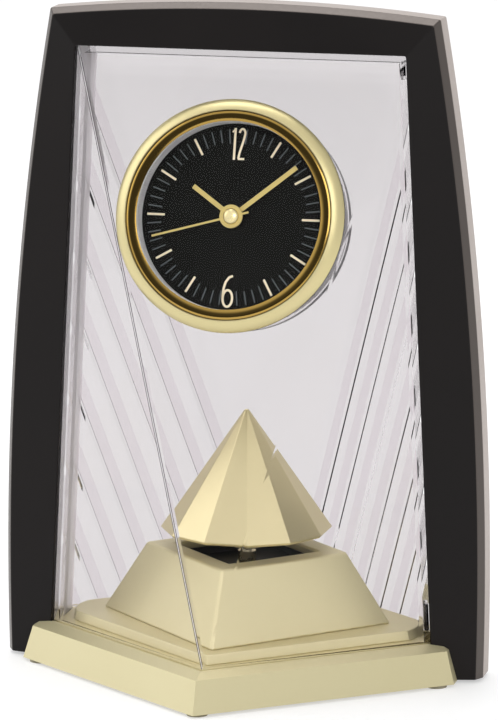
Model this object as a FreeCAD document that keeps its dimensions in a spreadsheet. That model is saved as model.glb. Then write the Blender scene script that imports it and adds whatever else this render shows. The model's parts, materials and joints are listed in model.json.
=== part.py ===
import FreeCAD, Part
import math
import os
import Sketcher
from types import SimpleNamespace

# Mantel clock with a rotating pendulum. Millimetres and degrees. X is to the right of the dial, Y points to the back
# and Z points up. The origin is the middle of the footprint, on the table.

SIZES = {
    # Arch frame: outlines seen from the front, and three depths from the middle plane
    "foot_height": 1.0,
    "frame_half_low": 81.0,
    "frame_half_high": 65.0,
    "frame_shoulder_z": 221.5,
    "frame_side_radius": 1140.0,
    "frame_top_radius": 605.0,
    "frame_bevel": 1.9,
    "frame_bevel_corner_x_share": 0.86,
    "frame_bevel_corner_z_share": 0.913,
    "strip_depth": 4.5,
    "face_depth": 8.0,
    "ridge_depth": 11.3,
    "opening_half_low": 66.6,
    "opening_half_high": 56.28,
    "opening_top_z": 211.6,
    # Clear covers
    "cover_gap": 0.3,
    "cover_wall": 2.4,
    "cover_rim_depth": 9.0,
    "cover_reach": 61.6,
    "flange_back": 7.6,
    "door_lift": 0.3,
    "pleat_pitches": 8.0,
    "pleat_depth": 0.7,
    "pleat_half_width": 1.2,
    # Door hinge
    "hinge_inset": 2.0,
    "hinge_depth": 10.2,
    "barrel_radius": 1.7,
    "barrel_length": 9.0,
    "pin_radius": 0.8,
    "pin_clearance": 0.05,
    "pin_hold": 3.5,
    # Base: a lozenge in plan, given by its reach to the front and its half width
    "lozenge_share": 0.79,
    "base_reach_low": 74.3,
    "base_half_low": 75.0,
    "base_reach_mid": 69.9,
    "base_half_mid": 72.1,
    "base_reach_top": 63.9,
    "base_half_top": 69.5,
    "base_mid_z": 11.75,
    "base_top_z": 13.4,
    "base_roof": 2.0,
    "cavity_rim": 7.8,
    "cavity_half": 61.0,
    "leg_gap": 0.3,
    "well_half_diagonal": 40.0,
    "groove_width": 1.3,
    "groove_foot": 0.1,
    "groove_depth": 0.8,
    "boss_radius": 3.2,
    "boss_inset": 14.5,
    "boss_side_x": 52.0,
    "boss_bore_radius": 1.05,
    "foot_radius": 3.5,
    "foot_front_inset": 6.0,
    "foot_side_x": 69.0,
    "foot_side_y": 14.9,
    # Base plate, battery door and switch
    "plate_thickness": 1.5,
    "plate_gap": 0.3,
    "screw_radius": 1.0,
    "screw_length": 7.0,
    "screw_head_radius": 2.2,
    "screw_head_height": 0.7,
    "screw_clearance": 0.05,
    "hatch_half_length": 27.2,
    "hatch_half_width": 7.6,
    "door_half_length": 29.7,
    "door_half_width": 8.4,
    "door_tongue": 1.0,
    "door_travel": 5.0,
    "door_gap": 0.15,
    "door_recess": 0.95,
    "door_tongue_height": 0.4,
    "switch_inset": 18.0,
    "switch_half_length": 5.0,
    "switch_half_width": 2.6,
    "switch_height": 0.9,
    "switch_knob_half": 1.25,
    "switch_travel": 3.0,
    "switch_gap": 0.1,
    # Plinth plate and frustum
    "plinth_reach_low": 56.3,
    "plinth_reach_top": 55.6,
    "plinth_share": 0.835,
    "plinth_side_x": 62.0,
    "plinth_side_radius": 8.0,
    "plinth_top_z": 16.8,
    "frustum_half_low": 50.0,
    "frustum_half_top": 34.65,
    "frustum_top_z": 40.6,
    "frustum_wall": 3.5,
    "frustum_mouth": 24.5,
    "frustum_roof": 3.0,
    # Pendulum
    "pendulum_sides": 12.0,
    "pendulum_radius": 28.7,
    "pendulum_turn": 13.9,
    "pendulum_rim_z": 47.8,
    "pendulum_tip_z": 89.3,
    "pendulum_wall": 1.6,
    "dish_low_z": 46.9,
    "dish_low_radius": 27.8,
    "dish_boss_radius": 5.0,
    "dish_boss_z": 41.0,
    "spindle_radius": 1.5,
    "spindle_top_z": 46.6,
    # Pendulum drive inside the frustum
    "drive_floor_z": 21.0,
    "drive_plate_thickness": 1.2,
    "tray_low_z": 33.0,
    "tray_floor": 1.2,
    "tray_half": 30.5,
    "tray_wall": 1.2,
    "tray_top_z": 37.4,
    "drive_module": 0.5,
    "drive_wheel_teeth": 40.0,
    "drive_pinion_teeth": 10.0,
    "drive_wheel_angle": 135.0,
    "drive_rotor_angle": 190.0,
    "wheel_low_z": 27.0,
    "spindle_gear_low_z": 29.5,
    "drive_gear_thickness": 2.0,
    "drive_arbor_radius": 0.9,
    "drive_magnet_radius": 3.0,
    "drive_magnet_low_z": 23.5,
    "drive_magnet_height": 3.0,
    "drive_stator_low_z": 24.6,
    "drive_stator_thickness": 0.8,
    "drive_rotor_gap": 0.4,
    "stator_left_x": -27.0,
    "stator_right_x": -13.0,
    "stator_front_y": -12.0,
    "stator_back_y": 10.5,
    "stator_arm": 2.5,
    "stator_pole": 8.0,
    "drive_coil_radius": 2.3,
    "drive_coil_margin": 0.3,
    "coil_bore_gap": 0.1,
    "post_radius": 1.6,
    "post_place": 26.0,
    "small_post_radius": 1.0,
    "bush_radius": 3.0,
    "bush_top_z": 39.5,
    "bush_clearance": 0.05,
    "board_thickness": 0.8,
    "drive_board_x": 9.0,
    "drive_board_length": 14.0,
    "drive_board_half_width": 8.0,
    # Pendulum cell and its holder
    "cell_radius": 7.25,
    "cell_length": 50.5,
    "cell_z": 11.0,
    "cell_gap": 0.25,
    "holder_wall": 1.4,
    "contact_thickness": 0.5,
    # Dial unit: distances along its own axis are measured outward from the cover's centre facet
    "dial_height": 158.2,
    "sleeve_radius": 37.0,
    "sleeve_bore": 34.5,
    "sleeve_depth": 19.0,
    "bezel_radius": 38.8,
    "bezel_edge": 1.0,
    "bezel_crest_radius": 35.2,
    "bezel_crest": 3.8,
    "bezel_groove_radius": 34.85,
    "bezel_groove_dip": 0.2,
    "bezel_arc_radius": 5.2,
    "bezel_shelf": 1.2,
    "collar_radius": 34.2,
    "collar_bore": 33.4,
    "collar_depth": 9.0,
    "ring_gap": 0.3,
    "ring_crest": 3.7,
    "ring_crest_width": 0.6,
    "ring_bore": 31.3,
    "ring_lip": 3.3,
    "crystal_radius": 32.3,
    "crystal_low": 1.8,
    "crystal_thickness": 1.1,
    "crystal_gap": 0.05,
    "silver_bore": 31.15,
    "dial_depth": 4.3,
    "dial_thickness": 1.0,
    "dial_radius": 33.1,
    "dial_bore": 1.9,
    "marker_outer": 29.4,
    "marker_length": 6.0,
    "marker_width": 0.73,
    "marker_height": 0.35,
    # Hands
    "hour_hand_reach": 17.0,
    "minute_hand_reach": 27.1,
    "second_hand_reach": 27.8,
    "hand_width": 1.6,
    "hand_tail": 6.0,
    "second_width": 0.7,
    "hand_thickness": 0.3,
    "hour_hand_level": 1.1,
    "minute_hand_level": 1.9,
    "second_hand_level": 2.7,
    "hour_angle": 305.1,
    "minute_angle": 50.7,
    "second_angle": 254.3,
    "hour_boss_radius": 2.6,
    "minute_boss_radius": 2.4,
    "hub_radius": 3.9,
    "hub_thickness": 0.8,
    "cap_radius": 2.7,
    "cap_height": 1.5,
    "pipe_fit": 0.05,
    # Clock movement
    "front_plate_thickness": 1.5,
    "can_radius": 33.1,
    "can_bore": 31.4,
    "can_shelf_bore": 30.0,
    "can_depth": 23.5,
    "can_floor": 1.2,
    "train_plate_depth": 12.2,
    "train_plate_thickness": 1.0,
    "train_plate_radius": 31.1,
    "train_plate_chord": 12.4,
    "second_arbor_radius": 0.45,
    "minute_pipe_radius": 0.95,
    "hour_pipe_radius": 1.5,
    "arbor_radius": 0.45,
    "pivot_depth": 0.7,
    "gear_thickness": 0.9,
    "pitch_angle": 28.0,
    "addendum_share": 0.75,
    "root_share": 1.1,
    "backlash_share": 0.25,
    "rotor_module": 0.3,
    "fast_module": 0.36,
    "third_module": 0.3,
    "motion_module": 0.45,
    "rotor_pinion_teeth": 8.0,
    "intermediate_teeth": 48.0,
    "intermediate_pinion_teeth": 8.0,
    "second_teeth": 40.0,
    "second_pinion_teeth": 8.0,
    "third_teeth": 60.0,
    "third_pinion_teeth": 8.0,
    "centre_teeth": 64.0,
    "cannon_teeth": 12.0,
    "motion_teeth": 36.0,
    "motion_pinion_teeth": 10.0,
    "hour_teeth": 40.0,
    "hour_layer": 8.0,
    "motion_layer": 9.3,
    "centre_layer": 10.7,
    "third_layer": 13.6,
    "second_layer": 15.1,
    "intermediate_layer": 16.6,
    "third_place_angle": 180.0,
    "intermediate_place_angle": 20.0,
    "rotor_place_angle": 60.0,
    "motion_place_angle": -25.0,
    "setting_place_angle": -5.0,
    "magnet_radius": 2.2,
    "magnet_low": 20.0,
    "magnet_height": 3.0,
    "rotor_gap": 0.4,
    "time_stator_low": 18.9,
    "time_stator_left": -14.0,
    "time_stator_right": 17.0,
    "time_stator_bottom": 6.5,
    "time_stator_top": 23.0,
    "time_stator_bar": 2.0,
    "time_stator_arm": 2.7,
    "time_stator_pole": 7.5,
    "time_coil_radius": 2.4,
    "stator_post_left": -11.0,
    "stator_post_right": 4.0,
    "stator_post_level": 10.0,
    "clock_board_left": -24.0,
    "clock_board_right": -13.0,
    "clock_board_low": -10.0,
    "clock_board_high": 8.0,
    "quartz_radius": 1.0,
    "quartz_length": 6.0,
    "quartz_inset": 4.0,
    "clock_cell_radius": 6.0,
    "clock_cell_length": 30.2,
    "clock_cell_level": -19.2,
    "clock_cell_depth": 14.6,
    "clock_contact_thickness": 0.8,
    "clock_contact_half_width": 3.5,
    "clock_contact_top": 10.5,
    "bay_gap": 0.3,
    "knob_radius": 4.0,
    "knob_top": 24.0,
    "knob_thickness": 3.0,
    "setting_arbor_radius": 1.0,
    # Leg screws
    "leg_screw_z": 6.8,
    "leg_screw_y": 4.5,
    "leg_screw_radius": 1.2,
    "leg_screw_depth": 6.0,
    "leg_head_radius": 2.3,
    "leg_head_height": 1.6,
    # How far a cutter runs past the faces that it cuts
    "overrun": 1.0,
}

MARKER_HOURS = (1, 2, 3, 4, 5, 7, 8, 9, 10, 11)


class Size:
    """A length or an angle: its number, and the sheet expression that gives the same number."""

    def __init__(self, number, text):
        self.number = number
        self.text = text

    def __add__(self, other):
        other = as_size(other)
        return Size(self.number + other.number, f"({self.text} + {other.text})")

    def __radd__(self, other):
        return as_size(other) + self

    def __sub__(self, other):
        other = as_size(other)
        return Size(self.number - other.number, f"({self.text} - {other.text})")

    def __rsub__(self, other):
        return as_size(other) - self

    def __mul__(self, other):
        other = as_size(other)
        return Size(self.number * other.number, f"({self.text} * {other.text})")

    def __rmul__(self, other):
        return as_size(other) * self

    def __truediv__(self, other):
        other = as_size(other)
        return Size(self.number / other.number, f"({self.text} / {other.text})")

    def __neg__(self):
        return Size(-self.number, f"(0 - {self.text})")

    def __float__(self):
        return float(self.number)


def as_size(value):
    return value if isinstance(value, Size) else Size(float(value), repr(float(value)))


def cosine(angle):
    return Size(math.cos(math.radians(angle.number)), f"cos({angle.text})")


def sine(angle):
    return Size(math.sin(math.radians(angle.number)), f"sin({angle.text})")


def root(value):
    return Size(math.sqrt(value.number), f"sqrt({value.text})")


doc = FreeCAD.newDocument("MantelClock")
sheet = doc.addObject("Spreadsheet::Sheet", "Sizes")
for row, (name, number) in enumerate(SIZES.items(), 1):
    sheet.set(f"A{row}", name)
    sheet.set(f"B{row}", str(number))
    sheet.setAlias(f"B{row}", name)
doc.recompute()
d = SimpleNamespace(**{name: Size(getattr(sheet, name), f"Sizes.{name}") for name in SIZES})

ZERO = as_size(0)
FULL_TURN = 360
QUARTER_TURN = 90
HOURS = 12
JUST_OVER = 1.001
parts = {}


def vector(x, y, z):
    return FreeCAD.Vector(float(x), float(y), float(z))


def bind(thing, prop, size):
    """Sets a property to a size and ties it to the sheet."""
    thing.setExpression(prop, size.text)


# Sketches

def new_body(label):
    body = doc.addObject("PartDesign::Body", label)
    body.Label = label
    parts[label] = body
    return body


def new_sketch(body, plane, lift=ZERO, turn=None):
    """A sketch on an origin plane of its body, lifted along the plane's normal and turned about it."""
    sketch = body.newObject("Sketcher::SketchObject", "Outline")
    origin_plane = [item for item in body.Origin.OriginFeatures if item.Role == plane][0]
    sketch.AttachmentSupport = [(origin_plane, "")]
    sketch.MapMode = "FlatFace"
    rotation = FreeCAD.Rotation(vector(0, 0, 1), float(turn)) if turn else FreeCAD.Rotation()
    sketch.AttachmentOffset = FreeCAD.Placement(vector(0, 0, lift), rotation)
    bind(sketch, "AttachmentOffset.Base.z", lift)
    if turn:
        bind(sketch, "AttachmentOffset.Rotation.Angle", turn)
    return sketch


def pin_point(sketch, side, end, x, y):
    """Ties one end of a sketch line to its distances from the sketch's origin."""
    for kind, size in (("DistanceX", x), ("DistanceY", y)):
        number = sketch.addConstraint(Sketcher.Constraint(kind, -1, 1, side, end, float(size)))
        sketch.setExpression(f"Constraints[{number}]", size.text)


def outline(sketch, points, arcs=None):
    """Draws a closed outline anticlockwise through points; arcs gives the radius of each side that bulges."""
    arcs = arcs or {}
    points = [(as_size(x), as_size(y)) for x, y in points]
    first = sketch.GeometryCount
    count = len(points)
    for side in range(count):
        start = vector(*points[side], 0)
        end = vector(*points[(side + 1) % count], 0)
        if side in arcs:
            radius = float(arcs[side])
            chord = end - start
            half = chord.Length / 2
            outward = FreeCAD.Vector(chord.y, -chord.x, 0).normalize()
            middle = (start + end) * 0.5 + outward * (radius - math.sqrt(radius * radius - half * half))
            sketch.addGeometry(Part.Arc(start, middle, end), False)
        else:
            sketch.addGeometry(Part.LineSegment(start, end), False)
    for side in range(count):
        following = first + (side + 1) % count
        sketch.addConstraint(Sketcher.Constraint("Coincident", first + side, 2, following, 1))
        pin_point(sketch, first + side, 1, *points[side])
        if side in arcs:
            number = sketch.addConstraint(Sketcher.Constraint("Radius", first + side, float(arcs[side])))
            sketch.setExpression(f"Constraints[{number}]", arcs[side].text)


def circle(sketch, x, y, radius):
    """Draws a circle about (x, y)."""
    side = sketch.addGeometry(Part.Circle(vector(x, y, 0), vector(0, 0, 1), float(radius)), False)
    pin_point(sketch, side, 3, as_size(x), as_size(y))
    number = sketch.addConstraint(Sketcher.Constraint("Radius", side, float(radius)))
    sketch.setExpression(f"Constraints[{number}]", radius.text)


def rectangle(left, right, low, high):
    return [(left, low), (right, low), (right, high), (left, high)]


# Features

def pad(body, low, high, points=None, arcs=None, discs=(), turn=None):
    """Adds a prism from low to high over an outline or over circles."""
    sketch = new_sketch(body, "XY_Plane", low, turn)
    if points:
        outline(sketch, points, arcs)
    for disc in discs:
        circle(sketch, *disc)
    feature = body.newObject("PartDesign::Pad", "Pad")
    feature.Profile = sketch
    bind(feature, "Length", high - low)
    return feature


def pocket(body, low, high, points=None, arcs=None, discs=(), turn=None):
    """Cuts a prism downward from high to low."""
    sketch = new_sketch(body, "XY_Plane", high, turn)
    if points:
        outline(sketch, points, arcs)
    for disc in discs:
        circle(sketch, *disc)
    feature = body.newObject("PartDesign::Pocket", "Pocket")
    feature.Profile = sketch
    bind(feature, "Length", high - low)
    return feature


def revolve(body, profile, arcs=None):
    """Adds a turned form from its (radius, level) profile."""
    sketch = new_sketch(body, "XZ_Plane")
    outline(sketch, profile, arcs)
    feature = body.newObject("PartDesign::Revolution", "Turn")
    feature.Profile = sketch
    feature.ReferenceAxis = (sketch, ["V_Axis"])
    return feature


def loft(body, kind, sections, plane="XY_Plane"):
    """Adds or cuts a form with flat sides between outlines, each given as (level, points, arcs)."""
    sketches = []
    for level, points, arcs in sections:
        sketch = new_sketch(body, plane, level)
        outline(sketch, points, arcs)
        sketches.append(sketch)
    feature = body.newObject(f"PartDesign::{kind}Loft", "Loft")
    feature.Profile = sketches[0]
    feature.Sections = sketches[1:]
    feature.Ruled = True
    return feature


def turned(label, profile, arcs=None):
    body = new_body(label)
    revolve(body, profile, arcs)
    return body


def tube(label, bore, radius, low, high):
    return turned(label, rectangle(bore, radius, low, high))


def solid_piece(label, shape):
    """A sub-part whose shape is made by formula."""
    piece = doc.addObject("Part::Feature", label)
    piece.Label = label
    piece.Shape = shape
    parts[label] = piece
    return piece


def polyhedron(corners, faces):
    """A solid with flat faces, each a list of corner names."""
    sides = []
    for names in faces:
        wire = Part.makePolygon([corners[name] for name in names] + [corners[names[0]]])
        sides.append(Part.Face(wire))
    return Part.makeSolid(Part.makeShell(sides))


def prism(points, low, high):
    """An upright prism over (x, y) points."""
    ring = [vector(x, y, low) for x, y in points]
    face = Part.Face(Part.makePolygon(ring + [ring[0]]))
    return face.extrude(vector(0, 0, float(high) - float(low)))


def rod(radius, start, end):
    """A cylinder from one point to another."""
    way = end - start
    return Part.makeCylinder(float(radius), way.Length, start, way)


# Frame

def opening_half(level):
    """Half the width of the frame's opening at a height."""
    rise = (level - d.foot_height) / (d.opening_top_z - d.foot_height)
    return d.opening_half_low - (d.opening_half_low - d.opening_half_high) * rise


def arch_outline(grow):
    """The arch seen from the front, grown outward by a bevel."""
    corner_x = d.frame_half_high + grow * d.frame_bevel_corner_x_share
    corner_z = d.frame_shoulder_z + grow * d.frame_bevel_corner_z_share
    low_x = d.frame_half_low + grow
    points = [(-low_x, d.foot_height), (low_x, d.foot_height), (corner_x, corner_z), (-corner_x, corner_z)]
    arcs = {1: d.frame_side_radius + grow, 2: d.frame_top_radius + grow, 3: d.frame_side_radius + grow}
    return points, arcs


def opening_outline(low, top):
    low_half = opening_half(low)
    top_half = opening_half(top)
    return [(-low_half, low), (low_half, low), (top_half, top), (-top_half, top)]


def make_frame():
    body = new_body("frame")
    strip = arch_outline(d.frame_bevel)
    face = arch_outline(ZERO)
    ridge = (opening_outline(d.foot_height, d.opening_top_z), None)
    sections = [(-d.ridge_depth, *ridge), (-d.face_depth, *face), (-d.strip_depth, *strip)]
    sections += [(d.strip_depth, *strip), (d.face_depth, *face), (d.ridge_depth, *ridge)]
    loft(body, "Additive", sections, "XZ_Plane")
    sketch = new_sketch(body, "XZ_Plane", d.ridge_depth + d.overrun)
    outline(sketch, opening_outline(d.foot_height - d.overrun, d.opening_top_z))
    opening = body.newObject("PartDesign::Pocket", "Opening")
    opening.Profile = sketch
    bind(opening, "Length", 2 * (d.ridge_depth + d.overrun))
    return body


# Covers

def hinge_point(level):
    """The hinge axis leans with the right edge of the opening."""
    return opening_half(level) - d.cover_gap - d.hinge_inset


def cover_corners(side, low):
    """The corners of a cover, on the front (side -1) or the back (side 1)."""
    top = d.opening_top_z - d.cover_gap
    low_half = opening_half(low) - d.cover_gap
    top_half = opening_half(top) - d.cover_gap
    rim = side * d.cover_rim_depth
    return {
        "low_left": vector(-low_half, rim, low),
        "low_right": vector(low_half, rim, low),
        "top_left": vector(-top_half, rim, top),
        "top_right": vector(top_half, rim, top),
        "corner": vector(ZERO, side * d.cover_reach, low),
    }


COVER_FACES = [
    ["low_left", "low_right", "top_right", "top_left"],
    ["low_left", "corner", "low_right"],
    ["low_left", "top_left", "corner"],
    ["low_right", "corner", "top_right"],
    ["top_left", "top_right", "corner"],
]


def three_planes(planes):
    """The point where three planes meet, each given as a point and a normal."""
    (p, a), (q, b), (r, c) = planes
    spread = a.dot(b.cross(c))
    return (b.cross(c) * p.dot(a) + c.cross(a) * q.dot(b) + a.cross(b) * r.dot(c)) * (1 / spread)


def cover_shell(side, low):
    """Three thin flat facets that meet at the corner; the rim and the foot are open."""
    outer = cover_corners(side, low)
    middle = (outer["low_left"] + outer["top_right"]) * 0.5

    def inset(names):
        first, second, third = [outer[name] for name in names]
        normal = (second - first).cross(third - first).normalize()
        if normal.dot(middle - first) < 0:
            normal = normal * -1
        return first + normal * float(d.cover_wall), normal

    left = inset(["low_left", "top_left", "corner"])
    right = inset(["low_right", "top_right", "corner"])
    centre = inset(["top_left", "top_right", "corner"])
    rim = (vector(ZERO, side * (d.cover_rim_depth - d.overrun), ZERO), vector(0, 1, 0))
    foot = (vector(ZERO, ZERO, low - d.overrun), vector(0, 0, 1))
    inner = {
        "low_left": three_planes([left, rim, foot]),
        "low_right": three_planes([right, rim, foot]),
        "top_left": three_planes([left, rim, centre]),
        "top_right": three_planes([right, rim, centre]),
        "corner": three_planes([left, right, centre]),
        "foot": three_planes([left, right, foot]),
    }
    inner_faces = [
        ["low_left", "low_right", "top_right", "top_left"],
        ["low_left", "foot", "low_right"],
        ["low_left", "top_left", "corner", "foot"],
        ["low_right", "foot", "corner", "top_right"],
        ["top_left", "top_right", "corner"],
    ]
    return polyhedron(outer, COVER_FACES).cut(polyhedron(inner, inner_faces))


def trapezoid(low, top, inset, front, back):
    """The opening's outline, set in, as a solid between two depths."""
    corners = []
    for level, sign in ((low, -1), (low, 1), (top, 1), (top, -1)):
        corners.append(vector(sign * (opening_half(level) - inset), front, level))
    face = Part.Face(Part.makePolygon(corners + [corners[0]]))
    return face.extrude(vector(ZERO, back - front, ZERO))


def dial_frame():
    """The dial unit's own frame, which lies on the front cover's centre facet."""
    corners = cover_corners(-1, d.base_top_z)
    top = (corners["top_left"] + corners["top_right"]) * 0.5
    up = (top - corners["corner"]).normalize()
    share = (float(d.dial_height) - corners["corner"].z) / (top.z - corners["corner"].z)
    place = corners["corner"] + (top - corners["corner"]) * share
    lean = math.degrees(math.atan2(up.z, up.y))
    return FreeCAD.Placement(place, FreeCAD.Rotation(vector(1, 0, 0), lean))


def facet_lean():
    """The same frame as sheet expressions: its rotation about X, and its depth at the dial's height."""
    top = d.opening_top_z - d.cover_gap
    rise = top - d.base_top_z
    run = d.cover_reach - d.cover_rim_depth
    angle = Size(math.degrees(math.atan2(rise.number, run.number)), f"atan2({rise.text}; {run.text})")
    depth = d.cover_reach - run * (d.dial_height - d.base_top_z) / rise
    return angle, depth


def on_dial(body):
    """Seats a body on the centre facet."""
    angle, depth = facet_lean()
    body.Placement = dial_frame()
    bind(body, "Placement.Base.y", -depth)
    bind(body, "Placement.Base.z", d.dial_height)
    bind(body, "Placement.Rotation.Angle", angle)
    return body


def make_front_cover():
    low = d.base_top_z
    top = d.opening_top_z - d.cover_gap
    flange = trapezoid(low, top, d.cover_gap, -d.cover_rim_depth, d.flange_back)
    inner = trapezoid(low - d.overrun, top - d.cover_wall, d.cover_gap + d.cover_wall,
                      -(d.cover_rim_depth + d.overrun), d.flange_back + d.overrun)
    sleeve = Part.makeCylinder(float(d.sleeve_radius), float(d.sleeve_depth - d.cover_wall / 2),
                               vector(ZERO, ZERO, -d.sleeve_depth))
    bore = Part.makeCylinder(float(d.sleeve_bore), float(d.sleeve_depth + 2 * d.overrun),
                             vector(ZERO, ZERO, -(d.sleeve_depth + d.overrun)))
    sleeve.Placement = dial_frame()
    bore.Placement = dial_frame()
    shape = cover_shell(-1, low).fuse(flange.cut(inner)).fuse(sleeve).cut(bore)
    solid_piece("front_cover", shape.removeSplitter())


def make_rear_cover():
    low = d.base_top_z + d.door_lift
    corners = cover_corners(1, low)
    shape = cover_shell(1, low)
    pleats = int(d.pleat_pitches.number)
    for sign in (-1, 1):
        fold = corners["top_left"] if sign < 0 else corners["top_right"]
        rim = corners["low_left"] if sign < 0 else corners["low_right"]
        along = fold - corners["corner"]
        spare = (fold - corners["corner"]).normalize() * float(d.overrun * 2)
        across = (rim - corners["corner"]).normalize()
        outward = (along.cross(across) * sign).normalize()
        for index in range(1, pleats):
            foot = corners["corner"] + (rim - corners["corner"]) * (index / pleats)
            start = foot - spare
            half = across * float(d.pleat_half_width)
            lift = outward * float(d.overrun)
            dip = outward * float(d.pleat_depth)
            ring = [start - half + lift, start + half + lift, start + half, start - dip, start - half]
            face = Part.Face(Part.makePolygon(ring + [ring[0]]))
            shape = shape.cut(face.extrude(along + spare * 2))
    for start, end in barrel_spans():
        barrel = rod(d.barrel_radius, start, end)
        way = (end - start).normalize() * float(d.overrun)
        shape = shape.fuse(barrel).cut(rod(d.pin_radius + d.pin_clearance, start - way, end + way))
    solid_piece("rear_cover", shape.removeSplitter())


def hinge_vector(level):
    return vector(hinge_point(level), d.hinge_depth, level)


def barrel_spans():
    """The two hinge barrels of the door, at its foot and its top."""
    low = d.base_top_z + d.door_lift
    top = d.opening_top_z - d.cover_gap
    return [(hinge_vector(low), hinge_vector(low + d.barrel_length)),
            (hinge_vector(top - d.barrel_length), hinge_vector(top))]


def pin_spans():
    """The two hinge pins, held in the base and in the frame's top rail."""
    low = d.base_top_z
    top = d.opening_top_z
    return [(hinge_vector(low - d.base_roof), hinge_vector(low + d.barrel_length)),
            (hinge_vector(top - d.barrel_length), hinge_vector(top + d.pin_hold))]


def make_hinge_pins():
    solid_piece("hinge_pins", Part.makeCompound([rod(d.pin_radius, *span) for span in pin_spans()]))


# Base: the cavity keeps its rim, and the screw bosses and the switch keep their distance from it

CAVITY_REACH = d.base_reach_low - d.cavity_rim
BOSS_Y = CAVITY_REACH - d.boss_inset
SWITCH_Y = BOSS_Y - d.switch_inset


def lozenge(reach, half):
    """A lozenge with clipped side corners."""
    shoulder = reach - d.lozenge_share * half
    return [(ZERO, -reach), (half, -shoulder), (half, shoulder), (ZERO, reach), (-half, shoulder), (-half, -shoulder)]


def diamond(half):
    return [(ZERO, -half), (half, ZERO), (ZERO, half), (-half, ZERO)]


def leg_notch(sign):
    """The plan of the room for one frame leg."""
    inner = opening_half(d.base_top_z) - d.leg_gap
    outer = d.frame_half_low + d.frame_bevel + d.overrun
    slope = (d.ridge_depth - d.face_depth) / (d.frame_half_low - d.opening_half_low)
    deep = d.ridge_depth + d.leg_gap
    shallow = deep - slope * (outer - inner)
    points = [(inner, -deep), (outer, -shallow), (outer, shallow), (inner, deep)]
    return points if sign > 0 else [(-x, y) for x, y in reversed(points)]


def foot_v(grow):
    """The cover's foot line on the base, grown outward."""
    half = opening_half(d.base_top_z) - d.cover_gap
    run = d.cover_reach - d.cover_rim_depth
    slant = root(half * half + run * run)
    corner = d.cover_reach + grow * slant / half
    side = half + grow * slant / run
    return [(ZERO, -corner), (side, -d.cover_rim_depth), (-side, -d.cover_rim_depth)]


def make_base():
    body = new_body("base_shell")
    loft(body, "Additive", [
        (d.foot_height, lozenge(d.base_reach_low, d.base_half_low), None),
        (d.base_mid_z, lozenge(d.base_reach_mid, d.base_half_mid), None),
        (d.base_top_z, lozenge(d.base_reach_top, d.base_half_top), None),
    ])
    ceiling = d.base_top_z - d.base_roof
    for sign in (1, -1):
        pocket(body, d.foot_height - d.overrun, d.base_top_z + d.overrun, leg_notch(sign))
    pocket(body, d.foot_height - d.overrun, ceiling, lozenge(CAVITY_REACH, d.cavity_half))
    pocket(body, ceiling - d.overrun, d.base_top_z + d.overrun, diamond(d.well_half_diagonal))
    for x, y in boss_places():
        pad(body, d.foot_height + d.plate_thickness, ceiling + d.base_roof / 2, discs=[(x, y, d.boss_radius)])
    for x, y in boss_places():
        low = d.foot_height + d.plate_thickness - d.overrun
        high = d.foot_height + d.plate_thickness + d.screw_length
        pocket(body, low, high, discs=[(x, y, d.boss_bore_radius)])
    return body


def boss_places():
    return [(ZERO, -BOSS_Y), (d.boss_side_x, ZERO), (ZERO, BOSS_Y), (-d.boss_side_x, ZERO)]


def leg_screw_spans():
    """Each leg screw as (sign, y): it runs from the base's cavity into the leg."""
    return [(sign, y) for sign in (-1, 1) for y in (-d.leg_screw_y, d.leg_screw_y)]


def leg_screw_tip():
    return opening_half(d.leg_screw_z) + d.leg_screw_depth


def leg_screw_holes(grow):
    """The shanks of the leg screws, grown by a clearance, as solids."""
    rods = []
    for sign, y in leg_screw_spans():
        start = vector(sign * (d.cavity_half - d.overrun), y, d.leg_screw_z)
        end = vector(sign * (leg_screw_tip() + grow), y, d.leg_screw_z)
        rods.append(rod(d.leg_screw_radius + grow, start, end))
    return rods


def make_leg_screws():
    screws = []
    for sign, y in leg_screw_spans():
        seat = vector(sign * d.cavity_half, y, d.leg_screw_z)
        head = rod(d.leg_head_radius, vector(sign * (d.cavity_half - d.leg_head_height), y, d.leg_screw_z), seat)
        shank = rod(d.leg_screw_radius, seat, vector(sign * leg_screw_tip(), y, d.leg_screw_z))
        screws.append(head.fuse(shank))
    solid_piece("leg_screws", Part.makeCompound(screws))


def make_feet():
    front = d.base_reach_low - d.foot_front_inset
    places = [(ZERO, -front), (ZERO, front)]
    places += [(sx * d.foot_side_x, sy * d.foot_side_y) for sx in (-1, 1) for sy in (-1, 1)]
    pads = [rod(d.foot_radius, vector(x, y, ZERO), vector(x, y, d.foot_height)) for x, y in places]
    solid_piece("feet", Part.makeCompound(pads))


def make_base_plate():
    body = new_body("base_plate")
    low = d.foot_height
    high = low + d.plate_thickness
    pad(body, low, high, lozenge(CAVITY_REACH - d.plate_gap, d.cavity_half - d.plate_gap))
    pocket(body, low - d.overrun, high + d.overrun,
           rectangle(-d.hatch_half_length, d.hatch_half_length, -d.hatch_half_width, d.hatch_half_width))
    left = -(d.door_half_length + d.door_gap)
    right = d.door_half_length + d.door_travel + d.door_gap
    half = d.door_half_width + d.door_gap
    wide = half + d.door_tongue
    top = low + d.door_recess
    pocket(body, low - d.overrun, top, rectangle(left, right, -half, half))
    pocket(body, top - d.door_tongue_height - d.door_gap, top, rectangle(left, right, -wide, wide))
    slot_end = d.switch_knob_half + d.switch_travel + d.switch_gap
    pocket(body, low - d.overrun, high + d.overrun,
           rectangle(-(d.switch_knob_half + d.switch_gap), slot_end,
                     SWITCH_Y - d.switch_knob_half - d.switch_gap, SWITCH_Y + d.switch_knob_half + d.switch_gap))
    holes = [(x, y, d.screw_radius + d.screw_clearance) for x, y in boss_places()]
    pocket(body, low - d.overrun, high + d.overrun, discs=holes)


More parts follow.
